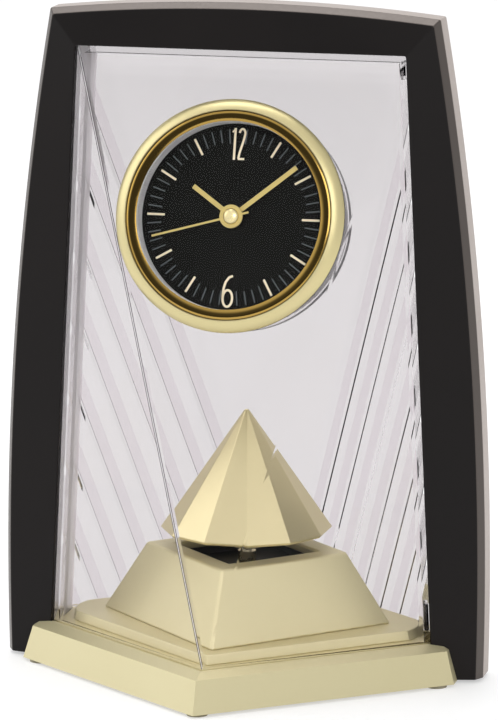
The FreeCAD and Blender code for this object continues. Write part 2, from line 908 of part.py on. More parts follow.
def make_battery_door():
    body = new_body("battery_door")
    top = d.foot_height + d.door_recess - d.door_gap
    tongue_low = top - d.door_tongue_height + d.door_gap
    half = d.door_half_width
    wide = half + d.door_tongue - d.door_gap
    length = d.door_half_length
    pad(body, tongue_low, top, rectangle(-length, length, -wide, wide))
    pad(body, d.foot_height, tongue_low, rectangle(-length, length, -half, half))


def make_switch():
    body = new_body("pendulum_switch")
    floor = d.foot_height + d.plate_thickness + d.switch_gap
    pad(body, floor, floor + d.switch_height,
        rectangle(-d.switch_half_length, d.switch_half_length,
                  SWITCH_Y - d.switch_half_width, SWITCH_Y + d.switch_half_width))
    pad(body, d.foot_height, floor,
        rectangle(-d.switch_knob_half, d.switch_knob_half,
                  SWITCH_Y - d.switch_knob_half, SWITCH_Y + d.switch_knob_half))


def make_base_screws():
    screws = []
    for x, y in boss_places():
        seat = vector(x, y, d.foot_height)
        head = rod(d.screw_head_radius, vector(x, y, d.foot_height - d.screw_head_height), seat)
        end = vector(x, y, d.foot_height + d.plate_thickness + d.screw_length - d.overrun)
        screws.append(head.fuse(rod(d.screw_radius, seat, end)))
    solid_piece("base_screws", Part.makeCompound(screws))


# Plinth and frustum

def clipped_diamond(reach, inset):
    """The plinth plate's plan: a flat diamond with arcs at its side corners."""
    side = d.plinth_side_x - inset
    clip = side - d.plinth_side_radius / 2
    shoulder = reach - d.plinth_share * clip
    points = [(ZERO, -reach), (clip, -shoulder), (clip, shoulder), (ZERO, reach), (-clip, shoulder), (-clip, -shoulder)]
    return points, {1: d.plinth_side_radius * 2, 4: d.plinth_side_radius * 2}


def make_plinth_plate():
    body = new_body("plinth_plate")
    taper = d.plinth_reach_low - d.plinth_reach_top
    loft(body, "Additive", [
        (d.base_top_z, *clipped_diamond(d.plinth_reach_low, ZERO)),
        (d.plinth_top_z, *clipped_diamond(d.plinth_reach_top, taper)),
    ])
    pocket(body, d.base_top_z - d.overrun, d.plinth_top_z + d.overrun, diamond(d.well_half_diagonal))


def frustum_half(level):
    share = (level - d.plinth_top_z) / (d.frustum_top_z - d.plinth_top_z)
    return d.frustum_half_low - (d.frustum_half_low - d.frustum_half_top) * share


def make_frustum():
    body = new_body("frustum")
    loft(body, "Additive", [
        (d.plinth_top_z, diamond(d.frustum_half_low), None),
        (d.frustum_top_z, diamond(d.frustum_half_top), None),
    ])
    roof = d.frustum_top_z - d.frustum_roof
    below = d.plinth_top_z - d.overrun
    loft(body, "Subtractive", [
        (below, diamond(frustum_half(below) - d.frustum_wall), None),
        (roof, diamond(frustum_half(roof) - d.frustum_wall), None),
    ])
    pocket(body, roof - d.overrun, d.frustum_top_z + d.overrun, diamond(d.frustum_mouth))


# Pendulum

def pendulum_ring(radius, level):
    count = int(d.pendulum_sides.number)
    start = float(d.pendulum_turn) - QUARTER_TURN
    ring = []
    for index in range(count):
        angle = math.radians(start + index * FULL_TURN / count)
        ring.append(FreeCAD.Vector(float(radius) * math.cos(angle), float(radius) * math.sin(angle), float(level)))
    return ring


def pyramid(radius, low, tip):
    """A many-sided pyramid on a flat base."""
    ring = pendulum_ring(radius, low)
    point = vector(ZERO, ZERO, tip)
    faces = [Part.Face(Part.makePolygon(ring + [ring[0]]))]
    for index, corner in enumerate(ring):
        following = ring[(index + 1) % len(ring)]
        faces.append(Part.Face(Part.makePolygon([corner, following, point, corner])))
    return Part.makeSolid(Part.makeShell(faces))


def pendulum_stack(sections):
    """A many-sided solid through rings, each given as (radius, level)."""
    wires = []
    for radius, level in sections:
        ring = pendulum_ring(radius, level)
        wires.append(Part.makePolygon(ring + [ring[0]]))
    return Part.makeLoft(wires, True, True)


def make_pendulum():
    rise = d.pendulum_tip_z - d.pendulum_rim_z
    outer = pyramid(d.pendulum_radius, d.pendulum_rim_z, d.pendulum_tip_z)
    inner_tip = d.pendulum_tip_z - d.pendulum_wall * rise / d.pendulum_radius
    grown = d.pendulum_radius - d.pendulum_wall + d.overrun * d.pendulum_radius / rise
    inner = pyramid(grown, d.pendulum_rim_z - d.overrun, inner_tip)
    solid_piece("pendulum_cone", outer.cut(inner))
    dish = pendulum_stack([(d.dish_low_radius, d.dish_low_z), (d.pendulum_radius, d.pendulum_rim_z)])
    boss = shaft(d.dish_boss_radius, d.dish_boss_z, d.pendulum_rim_z)
    hole = shaft(d.spindle_radius, d.dish_boss_z - d.overrun, d.spindle_top_z)
    solid_piece("pendulum_dish", dish.fuse(boss).cut(hole).removeSplitter())


# Gears

def involute(angle):
    return math.tan(angle) - angle


def gear_face(teeth, module, phase):
    """The outline of a gear, with the middle of one tooth at the phase angle."""
    count = int(round(float(teeth)))
    pitch = float(module) * count / 2
    base = pitch * math.cos(math.radians(float(d.pitch_angle)))
    tip = pitch + float(d.addendum_share) * float(module)
    foot = pitch - float(d.root_share) * float(module)
    half = (math.pi / 2 - float(d.backlash_share)) / count
    lean = involute(math.radians(float(d.pitch_angle)))

    def half_angle(radius):
        return half + lean - involute(math.acos(min(1.0, base / radius)))

    flank = [(foot, half_angle(max(base, foot)))]
    for radius in (max(base, foot * JUST_OVER), (pitch + max(base, foot)) / 2, pitch, tip):
        flank.append((radius, half_angle(radius)))
    points = []
    for tooth in range(count):
        middle = math.radians(float(phase)) + 2 * math.pi * tooth / count
        for radius, spread in flank:
            points.append(FreeCAD.Vector(radius * math.cos(middle - spread), radius * math.sin(middle - spread), 0))
        for radius, spread in reversed(flank):
            points.append(FreeCAD.Vector(radius * math.cos(middle + spread), radius * math.sin(middle + spread), 0))
    return Part.Face(Part.makePolygon(points + [points[0]]))


def gear(teeth, module, phase, low, thickness):
    face = gear_face(teeth, module, phase)
    face.translate(vector(ZERO, ZERO, low))
    return face.extrude(vector(ZERO, ZERO, thickness))


def partner_phase(phase, teeth, partner_teeth, direction):
    """The tooth angle of a partner whose gap takes the tooth, in the direction from the first wheel to it."""
    passed = (float(direction) - float(phase)) / (FULL_TURN / float(teeth))
    return float(direction) + FULL_TURN / 2 + (passed + 0.5) * FULL_TURN / float(partner_teeth)


def polar(distance, angle):
    return distance * cosine(angle), distance * sine(angle)


def at(shape, x, y):
    shape.translate(vector(x, y, ZERO))
    return shape


def shaft(radius, low, high):
    return rod(radius, vector(ZERO, ZERO, low), vector(ZERO, ZERO, high))


# Pendulum drive

DRIVE_SPAN = d.drive_module * (d.drive_wheel_teeth + d.drive_pinion_teeth) / 2
DRIVE_WHEEL = polar(DRIVE_SPAN, d.drive_wheel_angle)
DRIVE_STEP = polar(DRIVE_SPAN, d.drive_rotor_angle)
DRIVE_ROTOR = (DRIVE_WHEEL[0] + DRIVE_STEP[0], DRIVE_WHEEL[1] + DRIVE_STEP[1])


def make_drive_gears():
    pivot_low = d.drive_floor_z + d.drive_plate_thickness / 2
    pivot_high = d.tray_low_z + d.tray_floor / 2
    thick = d.drive_gear_thickness
    spindle_gear = gear(d.drive_wheel_teeth, d.drive_module, ZERO, d.spindle_gear_low_z, thick)
    bore = shaft(d.spindle_radius, d.spindle_gear_low_z - d.overrun, d.spindle_gear_low_z + thick + d.overrun)
    solid_piece("spindle_gear", spindle_gear.cut(bore))
    solid_piece("pendulum_spindle", shaft(d.spindle_radius, pivot_low, d.spindle_top_z))
    pinion_phase = partner_phase(0, d.drive_wheel_teeth, d.drive_pinion_teeth, d.drive_wheel_angle)
    pinion = gear(d.drive_pinion_teeth, d.drive_module, pinion_phase, d.wheel_low_z,
                  d.spindle_gear_low_z + thick - d.wheel_low_z)
    wheel = gear(d.drive_wheel_teeth, d.drive_module, ZERO, d.wheel_low_z, thick)
    arbor = shaft(d.drive_arbor_radius, pivot_low, pivot_high)
    solid_piece("drive_wheel", at(wheel.fuse([pinion, arbor]), *DRIVE_WHEEL))
    rotor_phase = partner_phase(0, d.drive_wheel_teeth, d.drive_pinion_teeth, d.drive_rotor_angle)
    rotor = gear(d.drive_pinion_teeth, d.drive_module, rotor_phase, d.wheel_low_z, thick)
    magnet = shaft(d.drive_magnet_radius, d.drive_magnet_low_z, d.drive_magnet_low_z + d.drive_magnet_height)
    solid_piece("drive_rotor", at(rotor.fuse([magnet, arbor]), *DRIVE_ROTOR))


def make_drive_plate():
    body = new_body("drive_plate")
    low = d.drive_floor_z
    high = low + d.drive_plate_thickness
    half = frustum_half(high) - d.frustum_wall - d.plate_gap
    pad(body, low, high, diamond(half))
    posts = [(ZERO, -d.post_place), (d.post_place, ZERO), (ZERO, d.post_place)]
    for x, y in posts:
        pad(body, high - d.drive_plate_thickness / 2, d.tray_low_z, discs=[(x, y, d.post_radius)])
    for x in (d.stator_left_x + d.stator_arm / 2, d.stator_right_x - d.stator_arm / 2):
        pad(body, high - d.drive_plate_thickness / 2, d.drive_stator_low_z, discs=[(x, ZERO, d.small_post_radius)])
    pivot = d.drive_arbor_radius + d.bush_clearance
    holes = [(*DRIVE_WHEEL, pivot), (*DRIVE_ROTOR, pivot), (ZERO, ZERO, d.spindle_radius + d.bush_clearance)]
    pocket(body, high - d.drive_plate_thickness / 2 - d.bush_clearance, high + d.overrun, discs=holes)


def make_tray():
    body = new_body("bearing_tray")
    floor = d.tray_low_z + d.tray_floor
    pad(body, d.tray_low_z, d.tray_top_z, diamond(d.tray_half))
    pocket(body, floor, d.tray_top_z + d.overrun, diamond(d.tray_half - d.tray_wall))
    pocket(body, d.tray_low_z - d.overrun, floor + d.overrun, discs=[(ZERO, ZERO, d.bush_radius)])
    pivot = d.drive_arbor_radius + d.bush_clearance
    pocket(body, d.tray_low_z - d.overrun, d.tray_low_z + d.tray_floor / 2 + d.bush_clearance,
           discs=[(*DRIVE_WHEEL, pivot), (*DRIVE_ROTOR, pivot)])
    tube("spindle_bush", d.spindle_radius + d.bush_clearance, d.bush_radius, d.tray_low_z, d.bush_top_z)


def make_drive_motor():
    stator = new_body("drive_stator")
    low = d.drive_stator_low_z
    high = low + d.drive_stator_thickness
    window_left = d.stator_left_x + d.stator_arm
    window_right = d.stator_right_x - d.stator_arm
    window_front = d.stator_front_y + d.stator_arm
    pad(stator, low, high, rectangle(d.stator_left_x, d.stator_right_x, d.stator_front_y, d.stator_back_y))
    pocket(stator, low - d.overrun, high + d.overrun,
           rectangle(window_left, window_right, window_front, d.stator_back_y - d.stator_pole))
    pocket(stator, low - d.overrun, high + d.overrun,
           discs=[(*DRIVE_ROTOR, d.drive_magnet_radius + d.drive_rotor_gap)])
    middle_y = d.stator_front_y + d.stator_arm / 2
    middle_z = (low + high) / 2
    start = vector(window_left + d.drive_coil_margin, middle_y, middle_z)
    end = vector(window_right - d.drive_coil_margin, middle_y, middle_z)
    gap = d.coil_bore_gap
    core = prism(rectangle(window_left - d.overrun, window_right + d.overrun,
                           d.stator_front_y - gap, window_front + gap), low - gap, high + gap)
    solid_piece("drive_coil", rod(d.drive_coil_radius, start, end).cut(core))


def make_drive_board():
    body = new_body("drive_board")
    low = d.drive_floor_z + d.drive_plate_thickness
    pad(body, low, low + d.board_thickness,
        rectangle(d.drive_board_x, d.drive_board_x + d.drive_board_length,
                  -d.drive_board_half_width, d.drive_board_half_width))


def make_pendulum_cell():
    half = d.cell_length / 2
    solid_piece("pendulum_battery", rod(d.cell_radius, vector(-half, ZERO, d.cell_z), vector(half, ZERO, d.cell_z)))
    holder = new_body("battery_holder")
    room = half + d.contact_thickness
    side = d.cell_radius + d.cell_gap
    low = d.foot_height + d.plate_thickness
    pad(holder, low, d.drive_floor_z,
        rectangle(-(room + d.holder_wall), room + d.holder_wall, -(side + d.holder_wall), side + d.holder_wall))
    pocket(holder, low - d.overrun, d.cell_z + d.cell_radius + d.cell_gap, rectangle(-room, room, -side, side))
    contacts = []
    for sign in (-1, 1):
        points = rectangle(half, room, -side / 2, side / 2)
        if sign < 0:
            points = rectangle(-room, -half, -side / 2, side / 2)
        contacts.append(prism(points, low + d.plate_gap, d.cell_z + d.cell_radius / 2))
    solid_piece("pendulum_contacts", Part.makeCompound(contacts))


# Dial unit

def make_bezel():
    body = turned("bezel", [
        (d.collar_bore, -d.collar_depth),
        (d.collar_radius, -d.collar_depth),
        (d.collar_radius, ZERO),
        (d.bezel_radius, ZERO),
        (d.bezel_radius, d.bezel_edge),
        (d.bezel_crest_radius, d.bezel_crest),
        (d.bezel_groove_radius, d.bezel_crest - d.bezel_groove_dip),
        (d.bezel_groove_radius, d.bezel_shelf),
        (d.collar_bore, d.bezel_shelf),
    ], {4: d.bezel_arc_radius})
    return on_dial(body)


def make_crystal_ring():
    outer = d.bezel_groove_radius - d.ring_gap
    seat = d.crystal_radius + d.crystal_gap
    under = d.crystal_low + d.crystal_thickness + d.crystal_gap
    on_dial(turned("crystal_ring", [
        (seat, d.bezel_shelf),
        (outer, d.bezel_shelf),
        (outer, d.ring_crest),
        (outer - d.ring_crest_width, d.ring_crest),
        (d.ring_bore, d.ring_lip),
        (d.ring_bore, under),
        (seat, under),
    ]))
    crystal_high = d.crystal_low + d.crystal_thickness
    on_dial(turned("crystal", rectangle(ZERO, d.crystal_radius, d.crystal_low, crystal_high)))
    on_dial(tube("silver_ring", d.silver_bore, d.crystal_radius, -d.dial_depth, d.crystal_low))


def make_dial_plate():
    low = -(d.dial_depth + d.dial_thickness)
    on_dial(tube("dial_plate", d.dial_bore, d.dial_radius, low, -d.dial_depth))
    markers = []
    for hour in MARKER_HOURS:
        half = d.marker_width / 2
        points = rectangle(-half, half, d.marker_outer - d.marker_length, d.marker_outer)
        bar = prism(points, -d.dial_depth, -d.dial_depth + d.marker_height)
        bar.rotate(vector(0, 0, 0), vector(0, 0, 1), -hour * FULL_TURN / HOURS)
        markers.append(bar)
    solid_piece("hour_markers", Part.makeCompound(markers)).Placement = dial_frame()


def make_hand(label, reach, angle, level, boss, bore, width, tail):
    """A bar hand with a round boss on its pipe."""
    body = new_body(label)
    low = level - d.dial_depth
    high = low + d.hand_thickness
    half = width / 2
    pad(body, low, high, rectangle(-half, half, -tail, reach), turn=-angle)
    pad(body, low, high, discs=[(ZERO, ZERO, boss)])
    pocket(body, low - d.overrun, high + d.overrun, discs=[(ZERO, ZERO, bore)])
    return on_dial(body)


def make_hands():
    make_hand("hour_hand", d.hour_hand_reach, d.hour_angle, d.hour_hand_level, d.hour_boss_radius,
              d.hour_pipe_radius, d.hand_width, ZERO)
    make_hand("minute_hand", d.minute_hand_reach, d.minute_angle, d.minute_hand_level, d.minute_boss_radius,
              d.minute_pipe_radius, d.hand_width, ZERO)
    body = new_body("second_hand")
    low = d.second_hand_level - d.dial_depth
    high = low + d.hub_thickness
    half = d.second_width / 2
    pad(body, low, low + d.hand_thickness, rectangle(-half, half, -d.hand_tail, d.second_hand_reach),
        turn=-d.second_angle)
    pad(body, low, high, discs=[(ZERO, ZERO, d.hub_radius)])
    pocket(body, low - d.overrun, high - d.hub_thickness / 2, discs=[(ZERO, ZERO, d.second_arbor_radius)])
    on_dial(body)
    dome = d.cap_radius * d.cap_radius / (2 * d.cap_height) + d.cap_height / 2
    cap = turned("hand_cap", [(ZERO, high), (d.cap_radius, high), (ZERO, high + d.cap_height)], {1: dome})
    on_dial(cap)


# Clock movement

INTERMEDIATE_SPAN = d.fast_module * (d.second_teeth + d.intermediate_pinion_teeth) / 2
ROTOR_SPAN = d.rotor_module * (d.intermediate_teeth + d.rotor_pinion_teeth) / 2
THIRD_SPAN = d.third_module * (d.third_teeth + d.second_pinion_teeth) / 2
MOTION_SPAN = d.motion_module * (d.motion_teeth + d.cannon_teeth) / 2
CENTRE_MODULE = 2 * THIRD_SPAN / (d.centre_teeth + d.third_pinion_teeth)
HOUR_MODULE = 2 * MOTION_SPAN / (d.hour_teeth + d.motion_pinion_teeth)
INTERMEDIATE = polar(INTERMEDIATE_SPAN, d.intermediate_place_angle)
ROTOR_STEP = polar(ROTOR_SPAN, d.rotor_place_angle)
TIME_ROTOR = (INTERMEDIATE[0] + ROTOR_STEP[0], INTERMEDIATE[1] + ROTOR_STEP[1])
THIRD = polar(THIRD_SPAN, d.third_place_angle)
MOTION = polar(MOTION_SPAN, d.motion_place_angle)
SETTING_STEP = polar(MOTION_SPAN, d.setting_place_angle)
SETTING = (MOTION[0] + SETTING_STEP[0], MOTION[1] + SETTING_STEP[1])

FRONT_PLATE_BACK = -(d.dial_depth + d.dial_thickness + d.front_plate_thickness)
CAN_FLOOR = d.can_floor - d.can_depth
TRAIN_BACK = -d.train_plate_depth
TRAIN_FRONT = TRAIN_BACK + d.train_plate_thickness


def dial_piece(label, shape, place=(ZERO, ZERO)):
    """A sub-part made about its own axis, which stands at a place on the dial unit's plane."""
    piece = solid_piece(label, shape)
    piece.Placement = dial_frame() * FreeCAD.Placement(vector(*place, ZERO), FreeCAD.Rotation())
    return piece


def make_train():
    """The gear train: coaxial hands on the dial's axis, with each pair of wheels in its own layer."""
    thick = d.gear_thickness
    back_pivot = CAN_FLOOR - d.pivot_depth
    train_pivot = TRAIN_BACK + d.pivot_depth
    front_pivot = FRONT_PLATE_BACK + d.pivot_depth
    second_gear = gear(d.second_teeth, d.fast_module, ZERO, -d.second_layer, thick)
    second_pinion = gear(d.second_pinion_teeth, d.third_module, d.third_place_angle, -d.third_layer, thick)
    second_arbor = shaft(d.second_arbor_radius, back_pivot, d.second_hand_level - d.dial_depth + d.hub_thickness / 2)
    dial_piece("second_wheel", second_arbor.fuse([second_gear, second_pinion]))

    phase = partner_phase(0, d.second_teeth, d.intermediate_pinion_teeth, d.intermediate_place_angle)
    pinion = gear(d.intermediate_pinion_teeth, d.fast_module, phase, -d.intermediate_layer,
                  d.intermediate_layer - d.second_layer + thick)
    wheel = gear(d.intermediate_teeth, d.rotor_module, ZERO, -d.intermediate_layer, thick)
    arbor = shaft(d.arbor_radius, back_pivot, train_pivot)
    dial_piece("intermediate_wheel", wheel.fuse([pinion, arbor]), INTERMEDIATE)

    phase = partner_phase(0, d.intermediate_teeth, d.rotor_pinion_teeth, d.rotor_place_angle)
    pinion = gear(d.rotor_pinion_teeth, d.rotor_module, phase, -d.intermediate_layer, thick)
    magnet = shaft(d.magnet_radius, -d.magnet_low, -d.magnet_low + d.magnet_height)
    dial_piece("time_rotor", arbor.copy().fuse([pinion, magnet]), TIME_ROTOR)

    phase = partner_phase(d.third_place_angle, d.second_pinion_teeth, d.third_teeth, d.third_place_angle)
    wheel = gear(d.third_teeth, d.third_module, phase, -d.third_layer, thick)
    pinion = gear(d.third_pinion_teeth, CENTRE_MODULE, d.third_place_angle, -d.centre_layer, thick)
    long_arbor = shaft(d.arbor_radius, back_pivot, front_pivot)
    dial_piece("third_wheel", wheel.fuse([pinion, long_arbor]), THIRD)

    phase = partner_phase(d.third_place_angle, d.third_pinion_teeth, d.centre_teeth, d.third_place_angle + FULL_TURN / 2)
    wheel = gear(d.centre_teeth, CENTRE_MODULE, phase, -d.centre_layer, thick)
    cannon = gear(d.cannon_teeth, d.motion_module, d.motion_place_angle, -d.motion_layer, thick)
    pipe_top = d.minute_hand_level - d.dial_depth + d.hand_thickness
    pipe = shaft(d.minute_pipe_radius, -d.centre_layer, pipe_top)
    bore = shaft(d.second_arbor_radius + d.pipe_fit, -d.centre_layer - d.overrun, pipe_top + d.overrun)
    dial_piece("centre_wheel", pipe.fuse([wheel, cannon]).cut(bore))

    phase = partner_phase(d.motion_place_angle, d.cannon_teeth, d.motion_teeth, d.motion_place_angle)
    wheel = gear(d.motion_teeth, d.motion_module, phase, -d.motion_layer, thick)
    toward_centre = d.motion_place_angle + FULL_TURN / 2
    pinion = gear(d.motion_pinion_teeth, HOUR_MODULE, toward_centre, -d.motion_layer,
                  d.motion_layer - d.hour_layer + thick)
    short_arbor = shaft(d.arbor_radius, train_pivot, front_pivot)
    dial_piece("minute_wheel", wheel.fuse([pinion, short_arbor]), MOTION)

    knob_phase = partner_phase(phase, d.motion_teeth, d.cannon_teeth, d.setting_place_angle)
    pinion = gear(d.cannon_teeth, d.motion_module, knob_phase, -d.motion_layer, thick)
    stem = shaft(d.setting_arbor_radius, -d.knob_top - d.knob_thickness / 2, front_pivot)
    dial_piece("setting_arbor", stem.fuse(pinion), SETTING)
    knob = shaft(d.knob_radius, -d.knob_top - d.knob_thickness, -d.knob_top)
    knob = knob.cut(shaft(d.setting_arbor_radius, -d.knob_top - d.knob_thickness / 2, -d.knob_top + d.overrun))
    dial_piece("setting_knob", knob, SETTING)

    phase = partner_phase(toward_centre, d.motion_pinion_teeth, d.hour_teeth, toward_centre)
    wheel = gear(d.hour_teeth, HOUR_MODULE, phase, -d.hour_layer, thick)
    pipe_top = d.hour_hand_level - d.dial_depth + d.hand_thickness
    pipe = shaft(d.hour_pipe_radius, -d.hour_layer, pipe_top)
    bore = shaft(d.minute_pipe_radius + d.pipe_fit, -d.hour_layer - d.overrun, pipe_top + d.overrun)
    dial_piece("hour_wheel", pipe.fuse(wheel).cut(bore))


def make_movement_case():
    front = new_body("movement_front")
    low = FRONT_PLATE_BACK
    high = low + d.front_plate_thickness
    pad(front, low, high, discs=[(ZERO, ZERO, d.dial_radius)])
    pocket(front, low - d.overrun, high + d.overrun, discs=[(ZERO, ZERO, d.hour_pipe_radius + d.pipe_fit)])
    pivots = [(*THIRD, d.arbor_radius + d.pipe_fit), (*MOTION, d.arbor_radius + d.pipe_fit)]
    pivots.append((*SETTING, d.setting_arbor_radius + d.pipe_fit))
    pocket(front, low - d.overrun, low + d.pivot_depth + d.pipe_fit, discs=pivots)
    on_dial(front)

    plate = new_body("train_plate")
    radius = d.train_plate_radius
    chord = -d.train_plate_chord
    half = root(radius * radius - d.train_plate_chord * d.train_plate_chord)
    pad(plate, TRAIN_BACK, TRAIN_FRONT, [(-half, chord), (half, chord), (ZERO, radius)], {1: radius, 2: radius})
    holes = [(*place, d.arbor_radius + d.pipe_fit) for place in (INTERMEDIATE, TIME_ROTOR, THIRD, MOTION)]
    holes += [(ZERO, ZERO, d.second_arbor_radius + d.pipe_fit), (*SETTING, d.setting_arbor_radius + d.pipe_fit)]
    pocket(plate, TRAIN_BACK - d.overrun, TRAIN_FRONT + d.overrun, discs=holes)
    on_dial(plate)

    can = turned("movement_back", [
        (ZERO, -d.can_depth),
        (d.can_radius, -d.can_depth),
        (d.can_radius, FRONT_PLATE_BACK),
        (d.can_bore, FRONT_PLATE_BACK),
        (d.can_bore, TRAIN_BACK),
        (d.can_shelf_bore, TRAIN_BACK),
        (d.can_shelf_bore, CAN_FLOOR),
        (ZERO, CAN_FLOOR),
    ])
    for x in (d.stator_post_left, d.stator_post_right):
        pad(can, CAN_FLOOR - d.can_floor / 2, -d.time_stator_low, discs=[(x, d.stator_post_level, d.small_post_radius)])
    bay_half = d.clock_cell_length / 2 + d.clock_contact_thickness
    bay_side = d.clock_cell_radius + d.bay_gap
    pocket(can, -d.can_depth - d.overrun, CAN_FLOOR + d.overrun,
           rectangle(-bay_half, bay_half, d.clock_cell_level - bay_side, d.clock_cell_level + bay_side))
    pocket(can, -d.can_depth - d.overrun, CAN_FLOOR + d.overrun,
           discs=[(*SETTING, d.setting_arbor_radius + d.pipe_fit)])
    pivots = [(*place, d.arbor_radius + d.pipe_fit) for place in (INTERMEDIATE, TIME_ROTOR, THIRD)]
    pivots.append((ZERO, ZERO, d.second_arbor_radius + d.pipe_fit))
    pocket(can, CAN_FLOOR - d.pivot_depth - d.pipe_fit, CAN_FLOOR + d.overrun, discs=pivots)
    on_dial(can)


def make_time_motor():
    stator = new_body("time_stator")
    low = -d.time_stator_low
    high = low + d.board_thickness
    left = d.time_stator_left + d.time_stator_arm
    right = d.time_stator_right - d.time_stator_arm
    bar = d.time_stator_top - d.time_stator_bar
    pad(stator, low, high,
        rectangle(d.time_stator_left, d.time_stator_right, d.time_stator_bottom, d.time_stator_top))
    pocket(stator, low - d.overrun, high + d.overrun,
           rectangle(left, right, d.time_stator_bottom + d.time_stator_pole, bar))
    pocket(stator, low - d.overrun, high + d.overrun, discs=[(*TIME_ROTOR, d.magnet_radius + d.rotor_gap)])
    on_dial(stator)
    gap = d.coil_bore_gap
    level = (bar + d.time_stator_top) / 2
    middle = (low + high) / 2
    coil = rod(d.time_coil_radius, vector(left + d.drive_coil_margin, level, middle),
               vector(right - d.drive_coil_margin, level, middle))
    core = prism(rectangle(left - d.overrun, right + d.overrun, bar - gap, d.time_stator_top + gap),
                 low - gap, high + gap)
    dial_piece("time_coil", coil.cut(core))


def make_clock_electrics():
    board = new_body("circuit_board")
    top = CAN_FLOOR + d.board_thickness
    pad(board, CAN_FLOOR, top,
        rectangle(d.clock_board_left, d.clock_board_right, d.clock_board_low, d.clock_board_high))
    on_dial(board)
    x = d.clock_board_left + d.quartz_inset
    level = top + d.quartz_radius
    half = d.quartz_length / 2
    dial_piece("quartz_can", rod(d.quartz_radius, vector(x, -half, level), vector(x, half, level)))
    end = d.clock_cell_length / 2
    level = -d.clock_cell_depth
    dial_piece("clock_battery", rod(d.clock_cell_radius, vector(-end, d.clock_cell_level, level),
                                    vector(end, d.clock_cell_level, level)))
    contacts = []
    for left, right in ((end, end + d.clock_contact_thickness), (-end - d.clock_contact_thickness, -end)):
        points = rectangle(left, right, d.clock_cell_level - d.clock_contact_half_width,
                           d.clock_cell_level + d.clock_contact_half_width)
        contacts.append(prism(points, CAN_FLOOR - d.can_floor / 2, -d.clock_contact_top))
    dial_piece("clock_contacts", Part.makeCompound(contacts))


def drill(label, rods):
    """Replaces a sub-part by itself less some rods, bound to the same body."""
    body = parts[label]
    body.Label = label + "_blank"
    doc.recompute()
    piece = doc.addObject("Part::Cut", label + "_drilled")
    cutter = doc.addObject("Part::Feature", label + "_holes")
    cutter.Shape = Part.makeCompound(rods)
    piece.Base = body
    piece.Tool = cutter
    piece.Label = label
    parts[label] = piece


def cover_groove():
    """The V groove in the base along the foot of the front cover."""
    top = d.base_top_z
    wires = []
    for grow, level in ((d.groove_foot, top - d.groove_depth), (d.groove_width + d.groove_foot, top + d.groove_foot)):
        ring = [vector(x, y, level) for x, y in foot_v(grow)]
        wires.append(Part.makePolygon(ring + [ring[0]]))
    wedge = Part.makeLoft(wires, True, True)
    return wedge.cut(prism(foot_v(ZERO), top - d.groove_depth - d.overrun, top + d.overrun))


def build():
    make_frame()
    make_front_cover()
    make_rear_cover()
    make_hinge_pins()
    make_base()
    make_leg_screws()
    make_feet()
    make_base_plate()
    make_battery_door()
    make_switch()
    make_base_screws()
    make_plinth_plate()
    make_frustum()
    make_pendulum()
    make_drive_gears()
    make_drive_plate()
    make_tray()
    make_drive_motor()
    make_drive_board()
    make_pendulum_cell()
    make_bezel()
    make_crystal_ring()
    make_dial_plate()
    make_hands()
    make_train()
    make_movement_case()
    make_time_motor()
    make_clock_electrics()
    clearance = d.pin_clearance
    low_pin, top_pin = [rod(d.pin_radius, *span) for span in pin_spans()]
    shanks = leg_screw_holes(clearance)
    drill("frame", leg_screw_holes(ZERO) + [top_pin])
    drill("base_shell", shanks + [low_pin, cover_groove()])


def check_and_write():
    """Stops if anything failed, then writes one file for each sub-part."""
    doc.recompute()
    for item in doc.Objects:
        if "Invalid" in item.State or "Error" in item.State:
            raise RuntimeError(f"{item.Label} failed: {item.State}")
    for label, item in parts.items():
        shape = item.Shape
        if shape.isNull() or not shape.isValid() or shape.Volume <= 0:
            raise RuntimeError(f"{label} has no valid shape")
    os.makedirs("parts", exist_ok=True)
    for label, item in parts.items():
        item.Shape.exportStep(f"parts/{label}.step")
        print(f"{label}: {len(item.Shape.Solids)} solid(s), {item.Shape.Volume:.1f} mm3")


build()
check_and_write()
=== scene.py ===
"""A mantel clock with a tapered arch frame, clear faceted covers and a cone pendulum.

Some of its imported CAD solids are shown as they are, and finer pieces at the same size stand for the rest.
"""

import json
import logging
import math
from dataclasses import dataclass, field
from enum import Enum
from typing import Any, Protocol, Sequence

import bmesh
import bpy
from mathutils import Matrix, Vector


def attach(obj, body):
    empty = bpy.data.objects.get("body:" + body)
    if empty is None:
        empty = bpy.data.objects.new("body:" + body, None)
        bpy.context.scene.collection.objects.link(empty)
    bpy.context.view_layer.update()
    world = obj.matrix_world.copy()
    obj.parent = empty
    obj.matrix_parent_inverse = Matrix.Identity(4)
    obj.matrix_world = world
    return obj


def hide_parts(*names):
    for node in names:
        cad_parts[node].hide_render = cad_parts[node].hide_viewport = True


Colour = tuple[float, float, float]
Place = tuple[float, float, float]
Point = tuple[float, float]
Build = bmesh.types.BMesh
Material = bpy.types.Material
Node = bpy.types.Node
Socket = bpy.types.NodeSocket
Tree = bpy.types.NodeTree

LOG = logging.getLogger("mantel_clock")
MM = 0.001
MICRON = 0.000001

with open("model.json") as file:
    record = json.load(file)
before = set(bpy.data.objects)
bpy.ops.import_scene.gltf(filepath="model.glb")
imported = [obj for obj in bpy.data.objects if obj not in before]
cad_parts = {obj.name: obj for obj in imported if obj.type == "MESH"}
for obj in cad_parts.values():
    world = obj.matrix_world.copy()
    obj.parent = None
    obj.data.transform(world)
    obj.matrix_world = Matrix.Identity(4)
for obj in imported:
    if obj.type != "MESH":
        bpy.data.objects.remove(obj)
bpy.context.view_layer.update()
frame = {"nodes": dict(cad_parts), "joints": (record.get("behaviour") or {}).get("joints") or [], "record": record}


class Side(Enum):
    """Which way a mirrored piece faces."""

    LEFT = -1
    RIGHT = 1


class Glyph(Enum):
    """The two numbers on the dial."""

    TWELVE = "12"
    SIX = "6"


# Shader nodes

